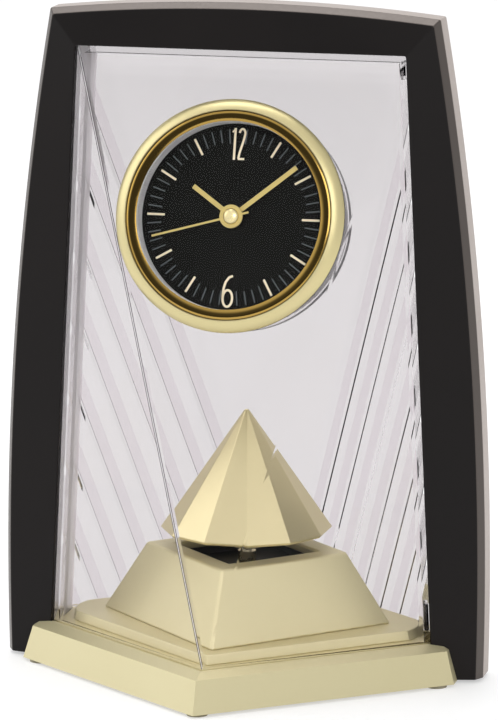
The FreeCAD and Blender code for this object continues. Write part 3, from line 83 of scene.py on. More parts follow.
FLOAT = "NodeSocketFloat"
COLOUR = "NodeSocketColor"
# Where a Mix node keeps its colours
MIX_COLOUR_INPUTS = (6, 7)
MIX_COLOUR_OUTPUT = 2


class Nodes:
    """A node tree, with short calls that add to it."""

    def __init__(self, tree: Tree) -> None:
        """Takes the tree that is added to."""
        self.tree = tree

    def put(self, value: object, into: Socket) -> None:
        """Feeds one input.

        Args:
            value: a socket, or a constant.
            into: the input.
        """
        if isinstance(value, Socket):
            self.tree.links.new(value, into)
        else:
            into.default_value = value

    def feed(self, node: Node, **values: object) -> None:
        """Feeds a node's inputs.

        Args:
            node: the node.
            values: a socket or a constant for each input name, with underscores for spaces.
        """
        for name, value in values.items():
            self.put(value, node.inputs[name.replace("_", " ")])

    def add(self, kind: str, **values: object) -> Node:
        """Adds a node.

        Args:
            kind: its type, such as ShaderNodeBump.
            values: what its inputs are fed with.

        Returns:
            The node.
        """
        node = self.tree.nodes.new(kind)
        self.feed(node, **values)
        return node

    def combine(self, operation: str, first: object, second: object) -> Socket:
        """Combines two values.

        Args:
            operation: such as MULTIPLY or MAXIMUM.
            first: a socket, or a number.
            second: a socket, or a number.

        Returns:
            The socket with the result.
        """
        node = self.add("ShaderNodeMath")
        node.operation = operation
        self.put(first, node.inputs[0])
        self.put(second, node.inputs[1])
        return node.outputs[0]

    def span(self, value: Socket, given: Point, low: object, high: object, smooth: bool = False) -> Socket:
        """Maps a value from one span to another.

        Args:
            value: the value.
            given: the span that it runs over.
            low: what the span's start becomes, as a socket or a number.
            high: what its end becomes.
            smooth: whether the change starts and ends softly.

        Returns:
            The socket with the mapped value.
        """
        node = self.add("ShaderNodeMapRange", Value=value, From_Min=given[0], From_Max=given[1], To_Min=low,
                        To_Max=high)
        if smooth:
            node.interpolation_type = "SMOOTHSTEP"
        return node.outputs["Result"]

    def blend(self, share: Socket, start: Socket, end: float) -> Socket:
        """Blends a value with a number.

        Args:
            share: the number's share.
            start: the value.
            end: the number.

        Returns:
            The socket with the blend.
        """
        return self.add("ShaderNodeMix", Factor=share, A=start, B=end).outputs["Result"]

    def rays(self, *kinds: str) -> Socket:
        """Tells some kinds of rays from the rest.

        Args:
            kinds: such as Camera or Transmission.

        Returns:
            A socket that is one for those kinds and zero for the rest.
        """
        path = self.add("ShaderNodeLightPath")
        found = path.outputs[f"Is {kinds[0]} Ray"]
        for kind in kinds[1:]:
            found = self.combine("MAXIMUM", found, path.outputs[f"Is {kind} Ray"])
        return found


class Shader(Nodes):
    """A material's node tree with its Principled shader."""

    def __init__(self, name: str) -> None:
        """Starts a plain material.

        Args:
            name: the material's name.
        """
        self.material = bpy.data.materials.new(name)
        self.material.use_nodes = True
        super().__init__(self.material.node_tree)
        self.principled = self.tree.nodes["Principled BSDF"]

    def set(self, **values: object) -> None:
        """Feeds the Principled shader's inputs."""
        self.feed(self.principled, **values)

    def group(self, effect: Tree, **values: object) -> Node:
        """Places a shared effect.

        Args:
            effect: its node group.
            values: what its inputs are fed with.

        Returns:
            The group node.
        """
        node = self.add("ShaderNodeGroup")
        node.node_tree = effect
        self.feed(node, **values)
        return node

    def bump(self, height: Socket, depth: float) -> None:
        """Adds relief to the surface.

        Args:
            height: the socket that gives the height, from 0 to 1.
            depth: how high 1 stands, in metres.
        """
        node = self.add("ShaderNodeBump", Distance=depth, Height=height)
        self.set(Normal=node.outputs["Normal"])


class Effect(Nodes):
    """A node group that several materials share."""

    def __init__(self, name: str, inputs: dict[str, str], outputs: dict[str, str]) -> None:
        """Starts the group with its sockets.

        Args:
            name: the group's name.
            inputs: the socket type of each input.
            outputs: the socket type of each output.
        """
        super().__init__(bpy.data.node_groups.new(name, "ShaderNodeTree"))
        for way, sockets in (("INPUT", inputs), ("OUTPUT", outputs)):
            for label, kind in sockets.items():
                self.tree.interface.new_socket(label, in_out=way, socket_type=kind)
        self.given = self.add("NodeGroupInput").outputs
        self.result = self.add("NodeGroupOutput")

    def noise(self, scale: object, detail: float) -> Socket:
        """Adds noise that is fixed to the piece.

        Args:
            scale: how fine it is, as a socket or a number.
            detail: how many finer layers it has.

        Returns:
            The socket with its value, from 0 to 1.
        """
        place = self.add("ShaderNodeTexCoord")
        noise = self.add("ShaderNodeTexNoise", Vector=place.outputs["Object"], Scale=scale, Detail=detail)
        return noise.outputs["Fac"]


def grain_effect(detail: float = 3.0, drift_scale: float = 22.0, drift_detail: float = 2.0,
                 product_span: Point = (0.1, 0.4)) -> Tree:
    """A fine even grain with a slow drift over it, for satin and lacquered surfaces.

    Args:
        detail: how many finer layers the grain has.
        drift_scale: how fine the drift is.
        drift_detail: how many finer layers the drift has.
        product_span: the span of grain times drift that runs from the lowest to the highest roughness.

    Returns:
        A group that gives Colour, Roughness and Height.
    """
    effect = Effect(
        "surface_grain",
        {"Colour": COLOUR, "Shade": COLOUR, "Grain Scale": FLOAT, "Low": FLOAT, "High": FLOAT},
        {"Colour": COLOUR, "Roughness": FLOAT, "Height": FLOAT},
    )
    given = effect.given
    grain = effect.noise(given["Grain Scale"], detail)
    drift = effect.noise(drift_scale, drift_detail)
    product = effect.combine("MULTIPLY", grain, drift)
    roughness = effect.span(product, product_span, given["Low"], given["High"])
    mix = effect.add("ShaderNodeMix", Factor=drift)
    mix.data_type = "RGBA"
    for name, index in zip(("Colour", "Shade"), MIX_COLOUR_INPUTS):
        effect.put(given[name], mix.inputs[index])
    effect.feed(effect.result, Colour=mix.outputs[MIX_COLOUR_OUTPUT], Roughness=roughness, Height=grain)
    return effect.tree


def marks_effect(detail: float = 5.0, cloud_span: Point = (0.45, 0.75)) -> Tree:
    """Soft cloudy marks that dull a polished surface a little.

    Args:
        detail: how many finer layers the marks have.
        cloud_span: the span of the clouds that runs from clean to dull.

    Returns:
        A group that gives Roughness.
    """
    effect = Effect("handling_marks", {"Scale": FLOAT, "Clean": FLOAT, "Dull": FLOAT}, {"Roughness": FLOAT})
    given = effect.given
    cloud = effect.noise(given["Scale"], detail)
    effect.feed(effect.result, Roughness=effect.span(cloud, cloud_span, given["Clean"], given["Dull"]))
    return effect.tree


GRAIN = grain_effect()
MARKS = marks_effect()


# The finishes of the clock


@dataclass(frozen=True)
class Grained:
    """A surface with a fine grain: plastic, lacquer or satin metal. The relief is in microns."""

    name: str
    colour: Colour
    shade: Colour
    low: float
    high: float
    metallic: float = 0.0
    grain: float = 900.0
    relief: float = 10.0
    gloss: float = 0.5

    def material(self) -> Material:
        """Builds the material.

        Returns:
            The material.
        """
        shader = Shader(self.name)
        grain = shader.group(GRAIN, Colour=(*self.colour, 1), Shade=(*self.shade, 1), Grain_Scale=self.grain,
                             Low=self.low, High=self.high)
        shader.set(Metallic=self.metallic, Specular_IOR_Level=self.gloss, Base_Color=grain.outputs["Colour"],
                   Roughness=grain.outputs["Roughness"])
        shader.bump(grain.outputs["Height"], self.relief * MICRON)
        return shader.material


@dataclass(frozen=True)
class Polished:
    """A bright metal with faint handling marks."""

    name: str
    colour: Colour
    clean: float
    dull: float
    marks: float = 60.0

    def material(self) -> Material:
        """Builds the material.

        Returns:
            The material.
        """
        shader = Shader(self.name)
        marks = shader.group(MARKS, Scale=self.marks, Clean=self.clean, Dull=self.dull)
        shader.set(Metallic=1.0, Base_Color=(*self.colour, 1), Roughness=marks.outputs["Roughness"])
        return shader.material


@dataclass(frozen=True)
class Clear:
    """Clear acrylic or glass. Part of the light passes straight through it, and a veil makes it milky."""

    name: str
    tint: Colour
    index: float
    clean: float = 0.0
    dull: float = 0.002
    straight: float = 0.0
    veil: float = 0.0
    marks: float = 30.0

    def material(self) -> Material:
        """Builds the material, which casts no more than a tinted shadow.

        Returns:
            The material.
        """
        shader = Shader(self.name)
        marks = shader.group(MARKS, Scale=self.marks, Clean=self.clean, Dull=self.dull)
        shader.set(Transmission_Weight=1.0 - self.veil, IOR=self.index, Base_Color=(*self.tint, 1),
                   Metallic=0.0, Roughness=marks.outputs["Roughness"])
        half_tint = (*(math.sqrt(part) for part in self.tint), 1)
        open_air = shader.add("ShaderNodeBsdfTransparent", Color=half_tint)
        share = shader.combine("MAXIMUM", shader.rays("Shadow"), self.straight)
        mix = shader.add("ShaderNodeMixShader", Fac=share)
        shader.put(shader.principled.outputs[0], mix.inputs[1])
        shader.put(open_air.outputs[0], mix.inputs[2])
        shader.feed(shader.tree.nodes["Material Output"], Surface=mix.outputs[0])
        return shader.material


def made(finish: Grained | Polished | Clear) -> Any:
    """A field of Finishes that builds a finish's material."""
    return field(default_factory=finish.material)


@dataclass
class Finishes:
    """Every material of the clock, made once."""

    satin_gold: Material = made(Grained(
        "satin_gold", (0.73, 0.66, 0.41), (0.69, 0.62, 0.375), 0.38, 0.48, metallic=0.55, relief=0.6))
    smooth_gold: Material = made(Grained(
        "smooth_gold", (0.73, 0.645, 0.385), (0.69, 0.605, 0.355), 0.30, 0.38, metallic=0.8, relief=0.3))
    polished_gold: Material = made(Polished("polished_gold", (0.82, 0.70, 0.38), 0.24, 0.32))
    bezel_gold: Material = made(Grained(
        "bezel_gold", (0.72, 0.63, 0.34), (0.68, 0.59, 0.31), 0.32, 0.40, metallic=0.8, relief=0.3))
    amber_gold: Material = made(Polished("amber_gold", (0.46, 0.30, 0.08), 0.10, 0.18))
    hand_gold: Material = made(Grained(
        "hand_gold", (0.60, 0.47, 0.17), (0.55, 0.43, 0.15), 0.28, 0.38, metallic=0.5, relief=2.0))
    print_gold: Material = made(Grained(
        "print_gold", (0.84, 0.73, 0.53), (0.78, 0.67, 0.48), 0.3, 0.4, metallic=0.2, relief=1.0))
    lacquer: Material = made(Grained(
        "black_lacquer", (0.008, 0.007, 0.007), (0.014, 0.011, 0.0105), 0.42, 0.52, grain=3200.0, relief=20.0,
        gloss=0.18))
    # The bevel is the edge's bronze paint made darker, and that darkness is painted shade.
    bevel_brown: Material = made(Grained(
        "bevel_brown", (0.092, 0.078, 0.071), (0.11, 0.095, 0.086), 0.3, 0.4, metallic=0.8, relief=6.0))
    edge_bronze: Material = made(Grained(
        "edge_bronze", (0.44, 0.38, 0.345), (0.38, 0.325, 0.295), 0.34, 0.44, metallic=0.8, relief=6.0))
    cover: Material = made(Clear("clear_cover", (0.93, 0.92, 0.925), 1.15))
    # Only the left rim gets this pale veil, which is a painted sheen; the right rim stays clear.
    flange: Material = made(Clear(
        "frosted_flange", (0.95, 0.925, 0.945), 1.1, clean=0.1, dull=0.2, straight=0.4, veil=0.55))
    # The pale crest of the left fold is a painted highlight.
    fold: Material = made(Clear("pale_fold", (0.92, 0.90, 0.92), 1.2, dull=0.1, straight=0.1, veil=0.8))
    # Painted dark edges beside the painted highlight on the left fold.
    fold_shade_edge: Material = made(Clear(
        "dark_fold_edge", (0.14, 0.12, 0.13), 1.2, dull=0.1, straight=0.25, veil=0.7))
    # A painted shade line along one wall of each left pleat band.
    band_shade_line: Material = made(Clear("band_hairline", (0.05, 0.04, 0.045), 1.01))
    rear: Material = made(Clear("clear_rear", (0.68, 0.66, 0.668), 1.22))
    pleat: Material = made(Clear("clear_pleat", (0.93, 0.90, 0.92), 1.01))
    glass: Material = made(Clear("crystal_glass", (0.99, 0.99, 0.99), 1.15, dull=0.03))
    silver: Material = made(Grained(
        "silver_ring", (0.86, 0.85, 0.85), (0.66, 0.65, 0.65), 0.35, 0.5, metallic=0.2, relief=2.0))
    dial: Material = made(Grained(
        "dial_black", (0.004, 0.004, 0.0033), (0.005, 0.005, 0.0043), 0.5, 0.52, relief=0.1, gloss=0.06))
    tick: Material = made(Grained(
        "tick_ink", (0.11, 0.12, 0.126), (0.07, 0.08, 0.087), 0.4, 0.5, relief=1.0, gloss=0.1))
    black: Material = made(Grained(
        "moulded_black", (0.02, 0.02, 0.021), (0.028, 0.028, 0.03), 0.5, 0.65, grain=1500.0, relief=20.0))
    rubber: Material = made(Grained("foot_rubber", (0.42, 0.38, 0.27), (0.38, 0.34, 0.24), 0.6, 0.75))
    steel: Material = made(Grained(
        "bright_steel", (0.6, 0.6, 0.6), (0.5, 0.5, 0.51), 0.22, 0.35, metallic=1.0, relief=2.0))
    acetal: Material = made(Grained("white_acetal", (0.75, 0.75, 0.71), (0.7, 0.7, 0.66), 0.35, 0.45))
    copper: Material = made(Grained(
        "copper_winding", (0.62, 0.27, 0.13), (0.5, 0.2, 0.09), 0.3, 0.45, metallic=1.0, grain=3000.0,
        relief=40.0))
    board: Material = made(Grained("board_green", (0.03, 0.16, 0.06), (0.04, 0.2, 0.08), 0.3, 0.4))
    jacket: Material = made(Grained(
        "cell_jacket", (0.10, 0.10, 0.12), (0.12, 0.12, 0.14), 0.25, 0.35, metallic=0.6))

    def by_slot(self) -> dict[str, Material]:
        """Pairs the record's material slots with finishes.

        Returns:
            The finish of each slot.
        """
        return {
            "black_lacquer": self.lacquer,
            "clear_plastic": self.cover,
            "glass": self.glass,
            "champagne_gold": self.satin_gold,
            "polished_gold": self.polished_gold,
            "silver": self.silver,
            "dial_black": self.dial,
            "black_plastic": self.black,
            "rubber": self.rubber,
            "steel": self.steel,
            "brass": self.polished_gold,
            "gear_plastic": self.acetal,
            "copper": self.copper,
            "board_green": self.board,
            "cell_jacket": self.jacket,
        }


# Meshes

TURNED_CREASE = 28.0
COPY_WELD = 2 * MICRON
COPY_FLATNESS = 0.4
LATHE_WELD = 0.5 * MICRON


def finish_piece(
    name: str,
    build: Build,
    materials: Sequence[Material],
    body: str,
    replaces: Sequence[str] = (),
    crease: float = 30.0,
) -> bpy.types.Object:
    """Turns a mesh under construction into a piece of the clock.

    Args:
        name: the piece's name.
        build: the mesh, in the row's frame, which is freed.
        materials: its finishes, in the order of its faces' material indices.
        body: the CAD body that it rides on.
        replaces: CAD nodes that it stands for.
        crease: the angle, in degrees, above which an edge stays sharp.

    Returns:
        The new object.
    """
    bmesh.ops.recalc_face_normals(build, faces=build.faces)
    mesh = bpy.data.meshes.new(name)
    build.to_mesh(mesh)
    build.free()
    mesh.shade_smooth()
    mesh.set_sharp_from_angle(angle=math.radians(crease))
    for material in materials:
        mesh.materials.append(material)
    piece = bpy.data.objects.new(name, mesh)
    bpy.context.scene.collection.objects.link(piece)
    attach(piece, body)
    if replaces:
        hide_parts(*replaces)
    LOG.info("%s: %d faces, rides on %s", name, len(mesh.polygons), body)
    return piece


def soften(piece: bpy.types.Object, width: float, segments: int = 2, angle: float = 20.0) -> None:
    """Rounds a piece's edges.

    Args:
        piece: the object.
        width: the width of the rounding, in millimetres.
        segments: how many faces it has.
        angle: the angle, in degrees, above which an edge is rounded.
    """
    bevel = piece.modifiers.new("soften", "BEVEL")
    bevel.width = width * MM
    bevel.segments = segments
    bevel.limit_method = "ANGLE"
    bevel.angle_limit = math.radians(angle)
    bevel.harden_normals = True


def copy_of_node(node: str) -> Build:
    """Copies a CAD node's mesh and makes its flat faces whole again.

    Args:
        node: the CAD node.

    Returns:
        A mesh under construction.
    """
    build = bmesh.new()
    build.from_mesh(frame["nodes"][node].data)
    bmesh.ops.remove_doubles(build, verts=build.verts, dist=COPY_WELD)
    flatness = math.radians(COPY_FLATNESS)
    bmesh.ops.dissolve_limit(build, angle_limit=flatness, verts=build.verts, edges=build.edges)
    return build


def vertex(build: Build, x: float, y: float, z: float) -> bmesh.types.BMVert:
    """Adds a vertex to a mesh, at a place in millimetres."""
    return build.verts.new((x * MM, y * MM, z * MM))


def skin(build: Build, rings: Sequence[Sequence[bmesh.types.BMVert]], closed: bool = True) -> None:
    """Joins a row of rings with four-sided faces.

    Args:
        build: the mesh that they belong to.
        rings: the rings, with as many corners each.
        closed: whether the last ring joins the first.
    """
    following = [*rings[1:], rings[0]] if closed else rings[1:]
    for here, there in zip(rings, following):
        for index in range(len(here)):
            after = (index + 1) % len(here)
            build.faces.new((here[index], here[after], there[after], there[index]))


def lathe(profile: Sequence[Point], steps: int = 256) -> Build:
    """Turns a closed profile about the local Z axis.

    Args:
        profile: (radius, level) points in millimetres.
        steps: how many facets go round.

    Returns:
        A mesh under construction.
    """
    build = bmesh.new()
    rings = []
    for step in range(steps):
        angle = 2 * math.pi * step / steps
        across, along = math.cos(angle), math.sin(angle)
        rings.append([vertex(build, radius * across, radius * along, level) for radius, level in profile])
    skin(build, rings)
    bmesh.ops.remove_doubles(build, verts=build.verts, dist=LATHE_WELD)
    return build


def arc_points(start: Point, end: Point, bulge: float, steps: int) -> list[Point]:
    """Points of a shallow arc between two points, both ends included.

    Args:
        start: the first point.
        end: the last point.
        bulge: how far its middle stands to the right of the straight way.
        steps: how many spans it has.

    Returns:
        The points.
    """
    run, rise = end[0] - start[0], end[1] - start[1]
    length = math.hypot(run, rise)
    across = (rise / length, -run / length)
    points = []
    for step in range(steps + 1):
        share = step / steps
        lift = bulge * 4 * share * (1 - share)
        points.append((start[0] + run * share + across[0] * lift, start[1] + rise * share + across[1] * lift))
    return points


def oval_points(middle: Point, radii: Point, start: float, sweep: float, steps: int) -> list[Point]:
    """Points along an oval, both ends included.

    Args:
        middle: its middle.
        radii: its half width and half height.
        start: the angle of the first point, in degrees.
        sweep: how far it goes round from there, in degrees.
        steps: how many spans it has.

    Returns:
        The points.
    """
    points = []
    for step in range(steps + 1):
        angle = math.radians(start + sweep * step / steps)
        points.append((middle[0] + radii[0] * math.cos(angle), middle[1] + radii[1] * math.sin(angle)))
    return points


def slab(build: Build, outline: Sequence[Vector], lift: Vector) -> list[bmesh.types.BMFace]:
    """Adds a flat-topped prism.

    Args:
        build: the mesh that it joins.
        outline: the corners of one face.
        lift: the way from that face to the other.

    Returns:
        Its walls, the first between the outline's first two corners.
    """
    low = [build.verts.new(point) for point in outline]
    high = [build.verts.new(point + lift) for point in outline]
    build.faces.new(low)
    build.faces.new(list(reversed(high)))
    walls = []
    for index in range(len(low)):
        after = (index + 1) % len(low)
        walls.append(build.faces.new((low[index], high[index], high[after], low[after])))
    return walls


# Sub-assemblies


class Assembly(Protocol):
    """What main builds."""

    def build(self) -> None:
        """Builds its pieces."""


@dataclass
class Arch:
    """The black frame: face, bevel and edge strip, swept round the opening. The bevel's darker bronze is painted
    shade. Millimetres.
    """

    finishes: Finishes
    foot: float = 1.0
    half_low: float = 81.0
    half_high: float = 65.0
    shoulder: float = 221.5
    side_radius: float = 1140.0
    top_radius: float = 605.0
    corner_out_share: float = 0.86
    corner_up_share: float = 0.913
    bevel: float = 1.9
    strip: float = 4.5
    face: float = 8.0
    ridge: float = 11.3
    opening_low: float = 66.6
    opening_high: float = 56.28
    opening_top: float = 211.6
    side_steps: int = 36
    top_steps: int = 30
    edge: float = 0.5

    def way_round(self, low: float, high: float, top: float, bulges: Point = (0, 0)) -> list[Point]:
        """The way from the right foot over the top to the left foot.

        Args:
            low: half its width at the feet.
            high: half its width at the shoulders.
            top: the level of the shoulders.
            bulges: how far its sides and its top bulge.

        Returns:
            The points.
        """
        side_bulge, top_bulge = bulges
        points = arc_points((low, self.foot), (high, top), side_bulge, self.side_steps)
        points += arc_points((high, top), (-high, top), top_bulge, self.top_steps)[1:]
        points += arc_points((-high, top), (-low, self.foot), side_bulge, self.side_steps)[1:]
        return points

    def outline(self, grow: float) -> list[Point]:
        """The arch's outer edge.

        Args:
            grow: how far it is grown outward.

        Returns:
            The points.
        """
        low, high = self.half_low + grow, self.half_high + grow * self.corner_out_share
        top = self.shoulder + grow * self.corner_up_share
        side_bulge = self.bulge((low, self.foot), (high, top), self.side_radius + grow)
        top_bulge = self.bulge((high, top), (-high, top), self.top_radius + grow)
        return self.way_round(low, high, top, (side_bulge, top_bulge))

    def opening(self) -> list[Point]:
        """The opening's edge, with as many points as the outline."""
        return self.way_round(self.opening_low, self.opening_high, self.opening_top)

    @staticmethod
    def bulge(start: Point, end: Point, radius: float) -> float:
        """How far an arc's middle stands from its chord."""
        half = math.dist(start, end) / 2
        return radius - math.sqrt(radius * radius - half * half)

    def build(self) -> None:
        """Builds the frame from its rings of points, front to back and round the inside."""
        build = bmesh.new()
        lacquer, bevel, strip = self.finishes.lacquer, self.finishes.bevel_brown, self.finishes.edge_bronze
        materials = [lacquer, bevel, strip]
        outer, face, inner = self.outline(self.bevel), self.outline(0), self.opening()
        rings = [
            (inner, -self.ridge, lacquer), (face, -self.face, bevel), (outer, -self.strip, strip),
            (outer, self.strip, bevel), (face, self.face, lacquer), (inner, self.ridge, lacquer),
        ]
        rows = [[vertex(build, x, y, z) for x, z in points] for points, y, _ in rings]
        for row, other, (_, _, finish) in zip(rows, [*rows[1:], rows[0]], rings):
            for step in range(len(row) - 1):
                quad = build.faces.new((row[step], row[step + 1], other[step + 1], other[step]))
                quad.material_index = materials.index(finish)
        for end in (0, -1):
            build.faces.new([row[end] for row in rows])
        piece = finish_piece("arch_frame", build, materials, "clock", ["frame"])
        soften(piece, self.edge)


@dataclass
class GiltBase:
    """The gilt base, step, frustum and pendulum, with softened edges. Millimetres."""

    finishes: Finishes
    base_edge: float = 0.35
    frustum_edge: float = 0.9
    cone_edge: float = 0.25
    dish_edge: float = 0.2
    segments: int = 3
    crease: float = 12.0

    def build(self) -> None:
        """Builds each piece from its solid."""
        satin, smooth = self.finishes.satin_gold, self.finishes.smooth_gold
        for node, name, body, edge, gold in (
            ("base_shell", "gilt_base", "clock", self.base_edge, satin),
            ("plinth_plate", "gilt_step", "clock", self.base_edge, satin),
            ("frustum", "gilt_frustum", "clock", self.frustum_edge, satin),
            ("pendulum_cone", "cone_facets", "pendulum", self.cone_edge, smooth),
            ("pendulum_dish", "cone_underside", "pendulum", self.dish_edge, smooth),
        ):
            build = copy_of_node(node)
            piece = finish_piece(name, build, [gold], body, [node], self.crease)
            soften(piece, edge, self.segments, self.crease)


@dataclass
class DialUnit:
    """The round dial unit. Its local frame lies on the cover's centre facet, in millimetres."""

    finishes: Finishes
    dial_level: float = -4.3
    collar_bore: float = 33.4
    collar_radius: float = 34.2
    collar_depth: float = -9.0
    bezel_radius: float = 38.8
    bezel_chamfer: float = 0.2
    bezel_edge: float = 1.0
    skirt_radius: float = 38.75
    rim_radius: float = 38.65
    rim_level: float = 1.25
    rim_bulge: float = 0.34
    rim_steps: int = 14
    crest_radius: float = 35.2
    crest: float = 3.8
    groove_radius: float = 34.85
    groove_width: float = 0.1
    groove_drop: float = 0.05
    groove_depth: float = 0.25
    shelf: float = 1.2
    ring_radius: float = 34.55
    ring_shoulder: float = 3.4
    ring_peak: Point = (33.2, 3.65)
    ring_bore: float = 31.3
    ring_lip: float = 3.3
    crown_bulge: float = 0.12
    slope_bulge: float = 0.08
    ring_steps: int = 5
    crystal_seat: float = 32.35
    crystal_top: float = 2.95
    silver_gap: float = 0.05
    silver_bore: float = 31.15
    silver_top: float = 1.8
    flutes: int = 240
    flute_steps: int = 4
    flute_depth: float = 0.12
    minutes: int = 60
    hour_minutes: int = 5
    tick_outer: float = 29.4
    tick_length: float = 4.4
    tick_extra: float = 0.4
    tick_width: float = 0.42
    tick_height: float = 0.05
    print_height: float = 0.15
    pen: float = 0.75
    soft_pen: float = 0.7
    thin_pen: float = 0.5
    twelve_place: Point = (0.35, 24.4)
    six_place: Point = (-0.3, -24.6)
    hand_edge: float = 0.1
    second_edge: float = 0.08
    cap_level: float = -0.8
    cap_radius: float = 2.7
    cap_height: float = 1.5
    cap_sweep: float = 85.0
    cap_spans: int = 17
    cap_steps: int = 96

    def __post_init__(self) -> None:
        """Works out the dial's own frame from the hands' joint."""
        joint = next(item for item in frame["joints"] if item["name"] == "second_turn")
        out = -Vector(joint["axis"]).normalized()
        right = Vector((1, 0, 0))
        turn = Matrix((right, out.cross(right), out)).transposed().to_4x4()
        self.matrix = Matrix.Translation(Vector(joint["pos_m"])) @ turn

    def place(self, build: Build) -> Build:
        """Moves a mesh from the dial's frame to the row's frame."""
        bmesh.ops.transform(build, matrix=self.matrix, verts=build.verts)
        return build

    def build_bezel(self) -> None:
        """The bright outer ring, whose side is black."""
        rim = arc_points((self.rim_radius, self.rim_level), (self.crest_radius, self.crest), self.rim_bulge,
                         self.rim_steps)
        build = lathe([
            (self.collar_bore, self.collar_depth), (self.collar_radius, self.collar_depth),
            (self.collar_radius, 0), (self.bezel_radius - self.bezel_chamfer, 0),
            (self.bezel_radius, self.bezel_chamfer), (self.bezel_radius, self.bezel_edge), *rim,
            (self.groove_radius + self.groove_width, self.crest - self.groove_drop),
            (self.groove_radius, self.crest - self.groove_depth),
            (self.groove_radius, self.shelf), (self.collar_bore, self.shelf),
        ])
        materials = [self.finishes.bezel_gold, self.finishes.black]
        for face in build.faces:
            if all(vert.co.xy.length > self.skirt_radius * MM for vert in face.verts):
                face.material_index = materials.index(self.finishes.black)
        finish_piece("bezel_ring", self.place(build), materials, "clock", ["bezel"],
                     TURNED_CREASE)

    def build_glass_ring(self) -> None:
        """The inner ring that holds the glass."""
        foot, lip = (self.ring_radius, self.ring_shoulder), (self.ring_bore, self.ring_lip)
        crown = arc_points(foot, self.ring_peak, self.crown_bulge, self.ring_steps)
        slope = arc_points(self.ring_peak, lip, self.slope_bulge, self.ring_steps)
        build = lathe([
            (self.crystal_seat, self.shelf), (self.ring_radius, self.shelf), *crown, *slope[1:],
            (self.ring_bore, self.crystal_top), (self.crystal_seat, self.crystal_top),
        ])
        finish_piece("glass_ring", self.place(build), [self.finishes.amber_gold], "clock",
                     ["crystal_ring"], TURNED_CREASE)

    def build_silver(self) -> None:
        """The fluted inner wall between the dial and the glass."""
        build = bmesh.new()
        outer = self.crystal_seat - self.silver_gap
        steps = self.flutes * self.flute_steps
        rings = []
        for step in range(steps):
            angle = 2 * math.pi * step / steps
            across, along = math.cos(angle), math.sin(angle)
            inner = self.silver_bore + self.flute_depth * (1 - math.cos(angle * self.flutes)) / 2
            profile = ((inner, self.dial_level), (outer, self.dial_level),
                       (outer, self.silver_top), (inner, self.silver_top))
            rings.append([vertex(build, radius * across, radius * along, level) for radius, level in profile])
        skin(build, rings)
        finish_piece("fluted_wall", self.place(build), [self.finishes.silver], "clock",
                     ["silver_ring"])

    def build_ticks(self) -> None:
        """The printed minute ticks between the hour markers, a little longer beside them."""
        build = bmesh.new()
        for minute in range(self.minutes):
            if minute % self.hour_minutes:
                near_hour = minute % self.hour_minutes in (1, self.hour_minutes - 1)
                length = self.tick_length + (self.tick_extra if near_hour else 0)
                turn = math.radians(360 * minute / self.minutes)
                along = Vector((math.sin(turn), math.cos(turn), 0))
                across = Vector((along.y, -along.x, 0)) * (self.tick_width / 2)
                level = Vector((0, 0, self.dial_level))
                end, start = along * self.tick_outer + level, along * (self.tick_outer - length) + level
                outline = (end - across, end + across, start + across, start - across)
                slab(build, [point * MM for point in outline], Vector((0, 0, self.tick_height * MM)))
        finish_piece("minute_ticks", self.place(build), [self.finishes.tick], "clock")

    def stroke(self, build: Build, line: Sequence[Point], width: float, middle: Point) -> None:
        """Adds a raised line of constant width.

        Args:
            build: the mesh that it joins.
            line: its points.
            width: its width.
            middle: where its origin lies on the dial.
        """
        low, high = self.dial_level, self.dial_level + self.print_height
        rows = []
        for index, point in enumerate(line):
            before = Vector(line[max(index - 1, 0)])
            after = Vector(line[min(index + 1, len(line) - 1)])
            way = (after - before).normalized()
            across = Vector((way.y, -way.x)) * (width / 2)
            here = Vector(point) + Vector(middle)
            left, right = here - across, here + across
            profile = ((left, low), (right, low), (right, high), (left, high))
            rows.append([vertex(build, place.x, place.y, level) for place, level in profile])
        skin(build, rows, closed=False)
        build.faces.new(rows[0])
        build.faces.new(list(reversed(rows[-1])))

    def glyph_lines(self, glyph: Glyph) -> list[tuple[list[Point], float]]:
        """The strokes of a number, drawn about its middle.

        Args:
            glyph: the number.

        Returns:
            The points and the width of each stroke.
        """
        if glyph is Glyph.SIX:
            bowl = oval_points((0, -2.4), (1.62, 2.75), start=90, sweep=360, steps=28)
            stem = [(1.45, 5.1), (0.2, 4.6), (-0.9, 3.0), (-1.45, 0.9), (-1.62, -1.6), (-1.62, -2.4)]
            return [(bowl, self.pen), (stem, self.pen)]
        one = [(-1.35, 5.3), (-1.35, -5.3)]
        flag = [(-2.25, 3.9), (-1.35, 5.0)]
        two = oval_points((1.1, 3.6), (0.95, 1.45), start=175, sweep=-200, steps=14)
        two += [(1.75, 1.8), (1.1, -0.6), (0.45, -2.9), (0.12, -4.9)]
        foot = [(0.0, -4.95), (2.15, -4.95)]
        return [(one, self.pen), (flag, self.thin_pen), (two, self.soft_pen), (foot, self.soft_pen)]

    def build_numbers(self) -> None:
        """The numbers 12 and 6, as thin raised strokes."""
        for glyph, middle in ((Glyph.TWELVE, self.twelve_place), (Glyph.SIX, self.six_place)):
            build = bmesh.new()
            for line, width in self.glyph_lines(glyph):
                self.stroke(build, line, width, middle)
            finish_piece(f"number_{glyph.value}", self.place(build), [self.finishes.print_gold], "clock")

    def build_hands(self) -> None:
        """The hands and markers, from their solids with softened edges."""
        gold, pale = self.finishes.hand_gold, self.finishes.print_gold
        for node, name, body, edge, finish in (
            ("hour_markers", "hour_batons", "clock", self.hand_edge, pale),
            ("hour_hand", "hour_bar", "hour_group", self.hand_edge, gold),
            ("minute_hand", "minute_bar", "minute_group", self.hand_edge, gold),
            ("second_hand", "second_bar", "second_group", self.second_edge, gold),
        ):
            piece = finish_piece(name, copy_of_node(node), [finish], body, [node])
            soften(piece, edge)

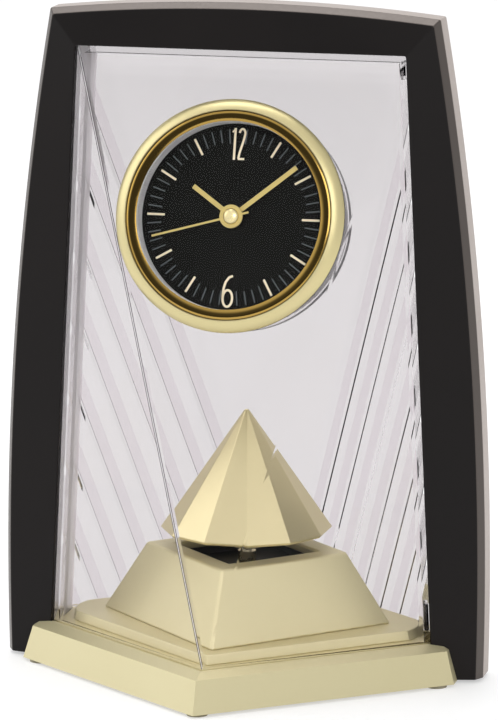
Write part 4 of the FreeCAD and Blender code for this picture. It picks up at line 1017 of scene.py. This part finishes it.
    def build_cap(self) -> None:
        """The domed cap at the middle of the hands."""
        radii = (self.cap_radius, self.cap_height)
        dome = oval_points((0, self.cap_level), radii, start=0, sweep=self.cap_sweep, steps=self.cap_spans)
        build = lathe([(0.0, self.cap_level), *dome, (0.0, self.cap_level + self.cap_height)], self.cap_steps)
        finish_piece("cap_dome", self.place(build), [self.finishes.polished_gold], "second_group",
                     ["hand_cap"])

    def build(self) -> None:
        """Builds the whole dial unit."""
        self.build_bezel()
        self.build_glass_ring()
        self.build_silver()
        self.build_ticks()
        self.build_numbers()
        self.build_hands()
        self.build_cap()


@dataclass
class FrontCover:
    """The clear front cover, with softened folds and a veiled flange along its left rim. The left fold carries a
    painted highlight between painted dark edges, and the veil on the left rim is a painted pale sheen.
    Millimetres.
    """

    finishes: Finishes
    reach: float = 61.6
    low: float = 13.4
    rim: float = 9.0
    top: float = 211.3
    top_half: float = 55.98
    low_half: float = 65.67
    fold_round: float = 0.5
    fold_segments: int = 3
    fold_shape: float = 0.5
    near: float = 0.05
    # The width of the left-rim strip that carries the painted sheen.
    veil: float = 2.4
    crest_share: float = 0.99
    crease: float = 3.0

    def on_fold(self, edge: bmesh.types.BMEdge) -> bool:
        """Tells whether a long edge's middle lies on one of the two folds.

        Args:
            edge: the edge.

        Returns:
            Whether it does.
        """
        middle = (edge.verts[0].co + edge.verts[1].co) / 2 / MM
        corner = Vector((0, -self.reach, self.low))
        for side in Side:
            way = Vector((side.value * self.top_half, -self.rim, self.top)) - corner
            share = (middle - corner).dot(way) / way.length_squared
            if 0 < share < 1 and (middle - corner - way * share).length < self.near:
                return edge.calc_length() > MM
        return False

    def crest_way(self) -> Vector:
        """The way that the crest of the left fold faces, halfway between its two facets.

        Returns:
            A vector of length 1.
        """
        corner = Vector((0, -self.reach, self.low))
        left = Vector((-self.top_half, -self.rim, self.top)) - corner
        right = Vector((self.top_half, -self.rim, self.top)) - corner
        foot = Vector((-self.low_half, -self.rim, self.low)) - corner
        return (right.cross(left).normalized() + left.cross(foot).normalized()).normalized()

    def round_folds(self, build: Build, pale: int, dark: int) -> None:
        """Rounds both folds, and gives the left one a painted highlight on its crest between painted dark edges.

        Args:
            build: the cover's mesh.
            pale: the material index of the crest's painted highlight.
            dark: the material index of the painted dark edges.
        """
        folds = [edge for edge in build.edges if self.on_fold(edge)]
        rounded = bmesh.ops.bevel(build, geom=folds, offset=self.fold_round * MM, segments=self.fold_segments,
                                  affect="EDGES", profile=self.fold_shape)
        build.normal_update()
        crest = self.crest_way()
        # The left fold gets a painted highlight on its crest and painted dark edges beside it.
        for face in rounded["faces"]:
            if face.calc_center_median().x < 0:
                face.material_index = pale if face.normal.dot(crest) > self.crest_share else dark
        LOG.info("%d fold edges are rounded", len(folds))

    def veil_rim_with_painted_sheen(self, build: Build, veiled: int) -> None:
        """Cuts the flange along a line beside the left rim, and veils the part outside it with a painted pale
        sheen.

        Args:
            build: the cover's mesh.
            veiled: the material index of that part, which carries the painted sheen.
        """
        place = Vector((self.veil - self.top_half, 0, self.top)) * MM
        normal = Vector((self.top - self.low, 0, self.top_half - self.low_half)).normalized()
        everything = [*build.verts, *build.edges, *build.faces]
        bmesh.ops.bisect_plane(build, geom=everything, plane_co=place, plane_no=normal)
        near, back = self.near * MM, -(self.rim + self.near) * MM
        for face in build.faces:
            if all(vert.co.y > back and (vert.co - place).dot(normal) < near for vert in face.verts):
                face.material_index = veiled

    def build(self) -> None:
        """Builds the cover from its solid."""
        build = copy_of_node("front_cover")
        finishes = self.finishes
        materials = [finishes.cover, finishes.flange, finishes.fold, finishes.fold_shade_edge]
        self.round_folds(build, materials.index(finishes.fold), materials.index(finishes.fold_shade_edge))
        self.veil_rim_with_painted_sheen(build, materials.index(finishes.flange))
        finish_piece("front_facets", build, materials, "clock", ["front_cover"], self.crease)


@dataclass
class RearPleats:
    """The raised bands on the side facets of the rear cover, with a painted shade line along each band of the left
    facet. Millimetres.
    """

    finishes: Finishes
    wall: float = 2.4
    top: float = 211.3
    top_half: float = 55.99
    low: float = 13.7
    low_half: float = 65.67
    rim: float = 9.0
    reach: float = 61.6
    bands: int = 8
    band_share: float = 0.45
    gap_share: float = 0.01
    foot_share: float = 0.01
    tip_share: float = 0.995
    height: float = 0.5

    def build_bands(self, side: Side) -> None:
        """Builds the bands of one side facet, on its inner face.

        Args:
            side: the facet's side.
        """
        corner = Vector((0, self.reach, self.low))
        foot = Vector((side.value * self.low_half, self.rim, self.low))
        head = Vector((side.value * self.top_half, self.rim, self.top))
        inward = (foot - corner).cross(head - corner).normalized() * side.value
        corner, foot, head = (point + inward * self.wall for point in (corner, foot, head))
        materials = [self.finishes.pleat, self.finishes.band_shade_line]
        build = bmesh.new()
        for band in range(1, self.bands + 1):
            near = (band - self.band_share) / self.bands
            far = band / self.bands - self.gap_share
            outline = []
            for across, along in ((near, self.foot_share), (far, self.foot_share),
                                  (far, self.tip_share), (near, self.tip_share)):
                start, end = corner.lerp(foot, across), head.lerp(foot, across)
                outline.append(start.lerp(end, along) * MM)
            _, far_wall, _, _ = slab(build, outline, inward * self.height * MM)
            # On the left facet, each band's far wall gets a painted shade line.
            if side is Side.LEFT:
                far_wall.material_index = materials.index(self.finishes.band_shade_line)
        finish_piece(f"pleats_{side.name.lower()}", build, materials, "back_door")

    def build(self) -> None:
        """Builds the bands of both facets as one piece each."""
        for side in Side:
            self.build_bands(side)


@dataclass
class Works:
    """The CAD nodes that are shown as they are."""

    finishes: Finishes

    def build(self) -> None:
        """Gives each CAD node the finish of its slot, and the rear cover a darker one of its own."""
        finish_of = self.finishes.by_slot()
        slots = {item["node"]: item["material_slot"] for item in frame["record"]["subparts"]}
        own = {"rear_cover": self.finishes.rear}
        for name, node in frame["nodes"].items():
            node.data.materials.clear()
            node.data.materials.append(own.get(name, finish_of[slots[name]]))
            LOG.info("%s keeps its solid in %s", name, slots[name])


@dataclass(frozen=True)
class Lamp:
    """A square soft lamp: where it stands and the length of its side, in metres, and its power in watts."""

    name: str
    place: Place
    size: float
    power: float

    def build(self, target: Place) -> None:
        """Builds the lamp.

        Args:
            target: the place that it points at.
        """
        data = bpy.data.lights.new(self.name, "AREA")
        data.size = self.size
        data.energy = self.power
        lamp = bpy.data.objects.new(self.name, data)
        bpy.context.scene.collection.objects.link(lamp)
        lamp.location = self.place
        lamp.rotation_euler = (Vector(self.place) - Vector(target)).to_track_quat("Z", "Y").to_euler()


@dataclass
class Studio:
    """The floor, the lights and the camera. Metres, degrees and pixels."""

    azimuth: float = 13.89
    elevation: float = 11.19
    distance: float = 1.651
    target: Place = (0.0, -0.008, 0.1125)
    focal_pixels: float = 4928.0
    frame_height: float = 720.0
    centre_x: float = -7.7
    centre_y: float = 16.8
    sensor: float = 36.0
    floor_size: float = 6.0
    floor_grey: float = 0.5
    floor_glow: float = 0.5
    floor_roughness: float = 0.7
    dark_way: Place = (-0.1, -0.99, 0.1)
    dark_span: Point = (0.74, 0.94)
    dark_level: float = 0.08
    left_level: float = 0.95
    right_level: float = 0.7
    behind_span: Point = (0.1, 0.5)
    lamps: tuple[Lamp, ...] = (
        Lamp("key", (-1.6, -0.35, 1.05), 1.5, 7),
        Lamp("top", (-0.2, 0.35, 1.4), 1.0, 8),
        Lamp("front", (0.9, -1.4, 0.9), 0.9, 6),
    )

    def build_camera(self) -> None:
        """The camera at the photograph's angle."""
        data = bpy.data.cameras.new("camera")
        data.sensor_fit = "VERTICAL"
        data.sensor_height = self.sensor
        data.lens = self.focal_pixels * self.sensor / self.frame_height
        data.shift_x = -self.centre_x / self.frame_height
        data.shift_y = -self.centre_y / self.frame_height
        camera = bpy.data.objects.new("camera", data)
        bpy.context.scene.collection.objects.link(camera)
        turn, lift = math.radians(self.azimuth), math.radians(self.elevation)
        way = Vector((math.sin(turn) * math.cos(lift), -math.cos(turn) * math.cos(lift), math.sin(lift)))
        camera.location = Vector(self.target) + way * self.distance
        camera.rotation_euler = way.to_track_quat("Z", "Y").to_euler()
        bpy.context.scene.camera = camera

    def build_floor(self) -> None:
        """A pale floor that reads as white paper and keeps the clock's shadow."""
        build = bmesh.new()
        bmesh.ops.create_grid(build, x_segments=1, y_segments=1, size=self.floor_size)
        mesh = bpy.data.meshes.new("floor")
        build.to_mesh(mesh)
        build.free()
        floor = bpy.data.objects.new("floor", mesh)
        bpy.context.scene.collection.objects.link(floor)
        shader = Shader("paper_floor")
        glow = shader.combine("MULTIPLY", shader.rays("Camera", "Glossy", "Transmission"), self.floor_glow)
        grey = (self.floor_grey, self.floor_grey, self.floor_grey, 1)
        shader.set(Base_Color=grey, Roughness=self.floor_roughness, Emission_Color=glow)
        shader.set(Emission_Strength=1.0)
        mesh.materials.append(shader.material)

    def build_world(self) -> None:
        """A studio that is white behind, softly lit at the sides and dark where the viewer stands."""
        world = bpy.data.worlds.new("studio")
        world.use_nodes = True
        bpy.context.scene.world = world
        nodes = Nodes(world.node_tree)
        way = nodes.add("ShaderNodeTexCoord").outputs["Generated"]
        toward = nodes.add("ShaderNodeVectorMath")
        toward.operation = "DOT_PRODUCT"
        nodes.put(way, toward.inputs[0])
        nodes.put(self.dark_way, toward.inputs[1])
        split = nodes.add("ShaderNodeSeparateXYZ", Vector=way)
        level = nodes.span(split.outputs["X"], (-1, 1), self.left_level, self.right_level, smooth=True)
        dark = nodes.span(toward.outputs["Value"], self.dark_span, 0, 1, smooth=True)
        level = nodes.blend(dark, level, self.dark_level)
        behind = nodes.span(split.outputs["Y"], self.behind_span, 0, 1, smooth=True)
        level = nodes.blend(behind, level, 1.0)
        level = nodes.blend(nodes.rays("Camera", "Transmission"), level, 1.0)
        nodes.feed(world.node_tree.nodes["Background"], Color=level)

    def build(self) -> None:
        """Builds the studio."""
        bpy.context.scene.view_settings.view_transform = "Standard"
        self.build_camera()
        self.build_floor()
        self.build_world()
        for lamp in self.lamps:
            lamp.build(self.target)


def main() -> None:
    """Builds the clock and its studio in order."""
    logging.basicConfig(level=logging.INFO, format="%(message)s")
    finishes = Finishes()
    assemblies: Sequence[Assembly] = (
        Studio(), Works(finishes), Arch(finishes), GiltBase(finishes), DialUnit(finishes),
        FrontCover(finishes), RearPleats(finishes),
    )
    for assembly in assemblies:
        assembly.build()
        LOG.info("%s is built", type(assembly).__name__)


if __name__ == "__main__":
    main()
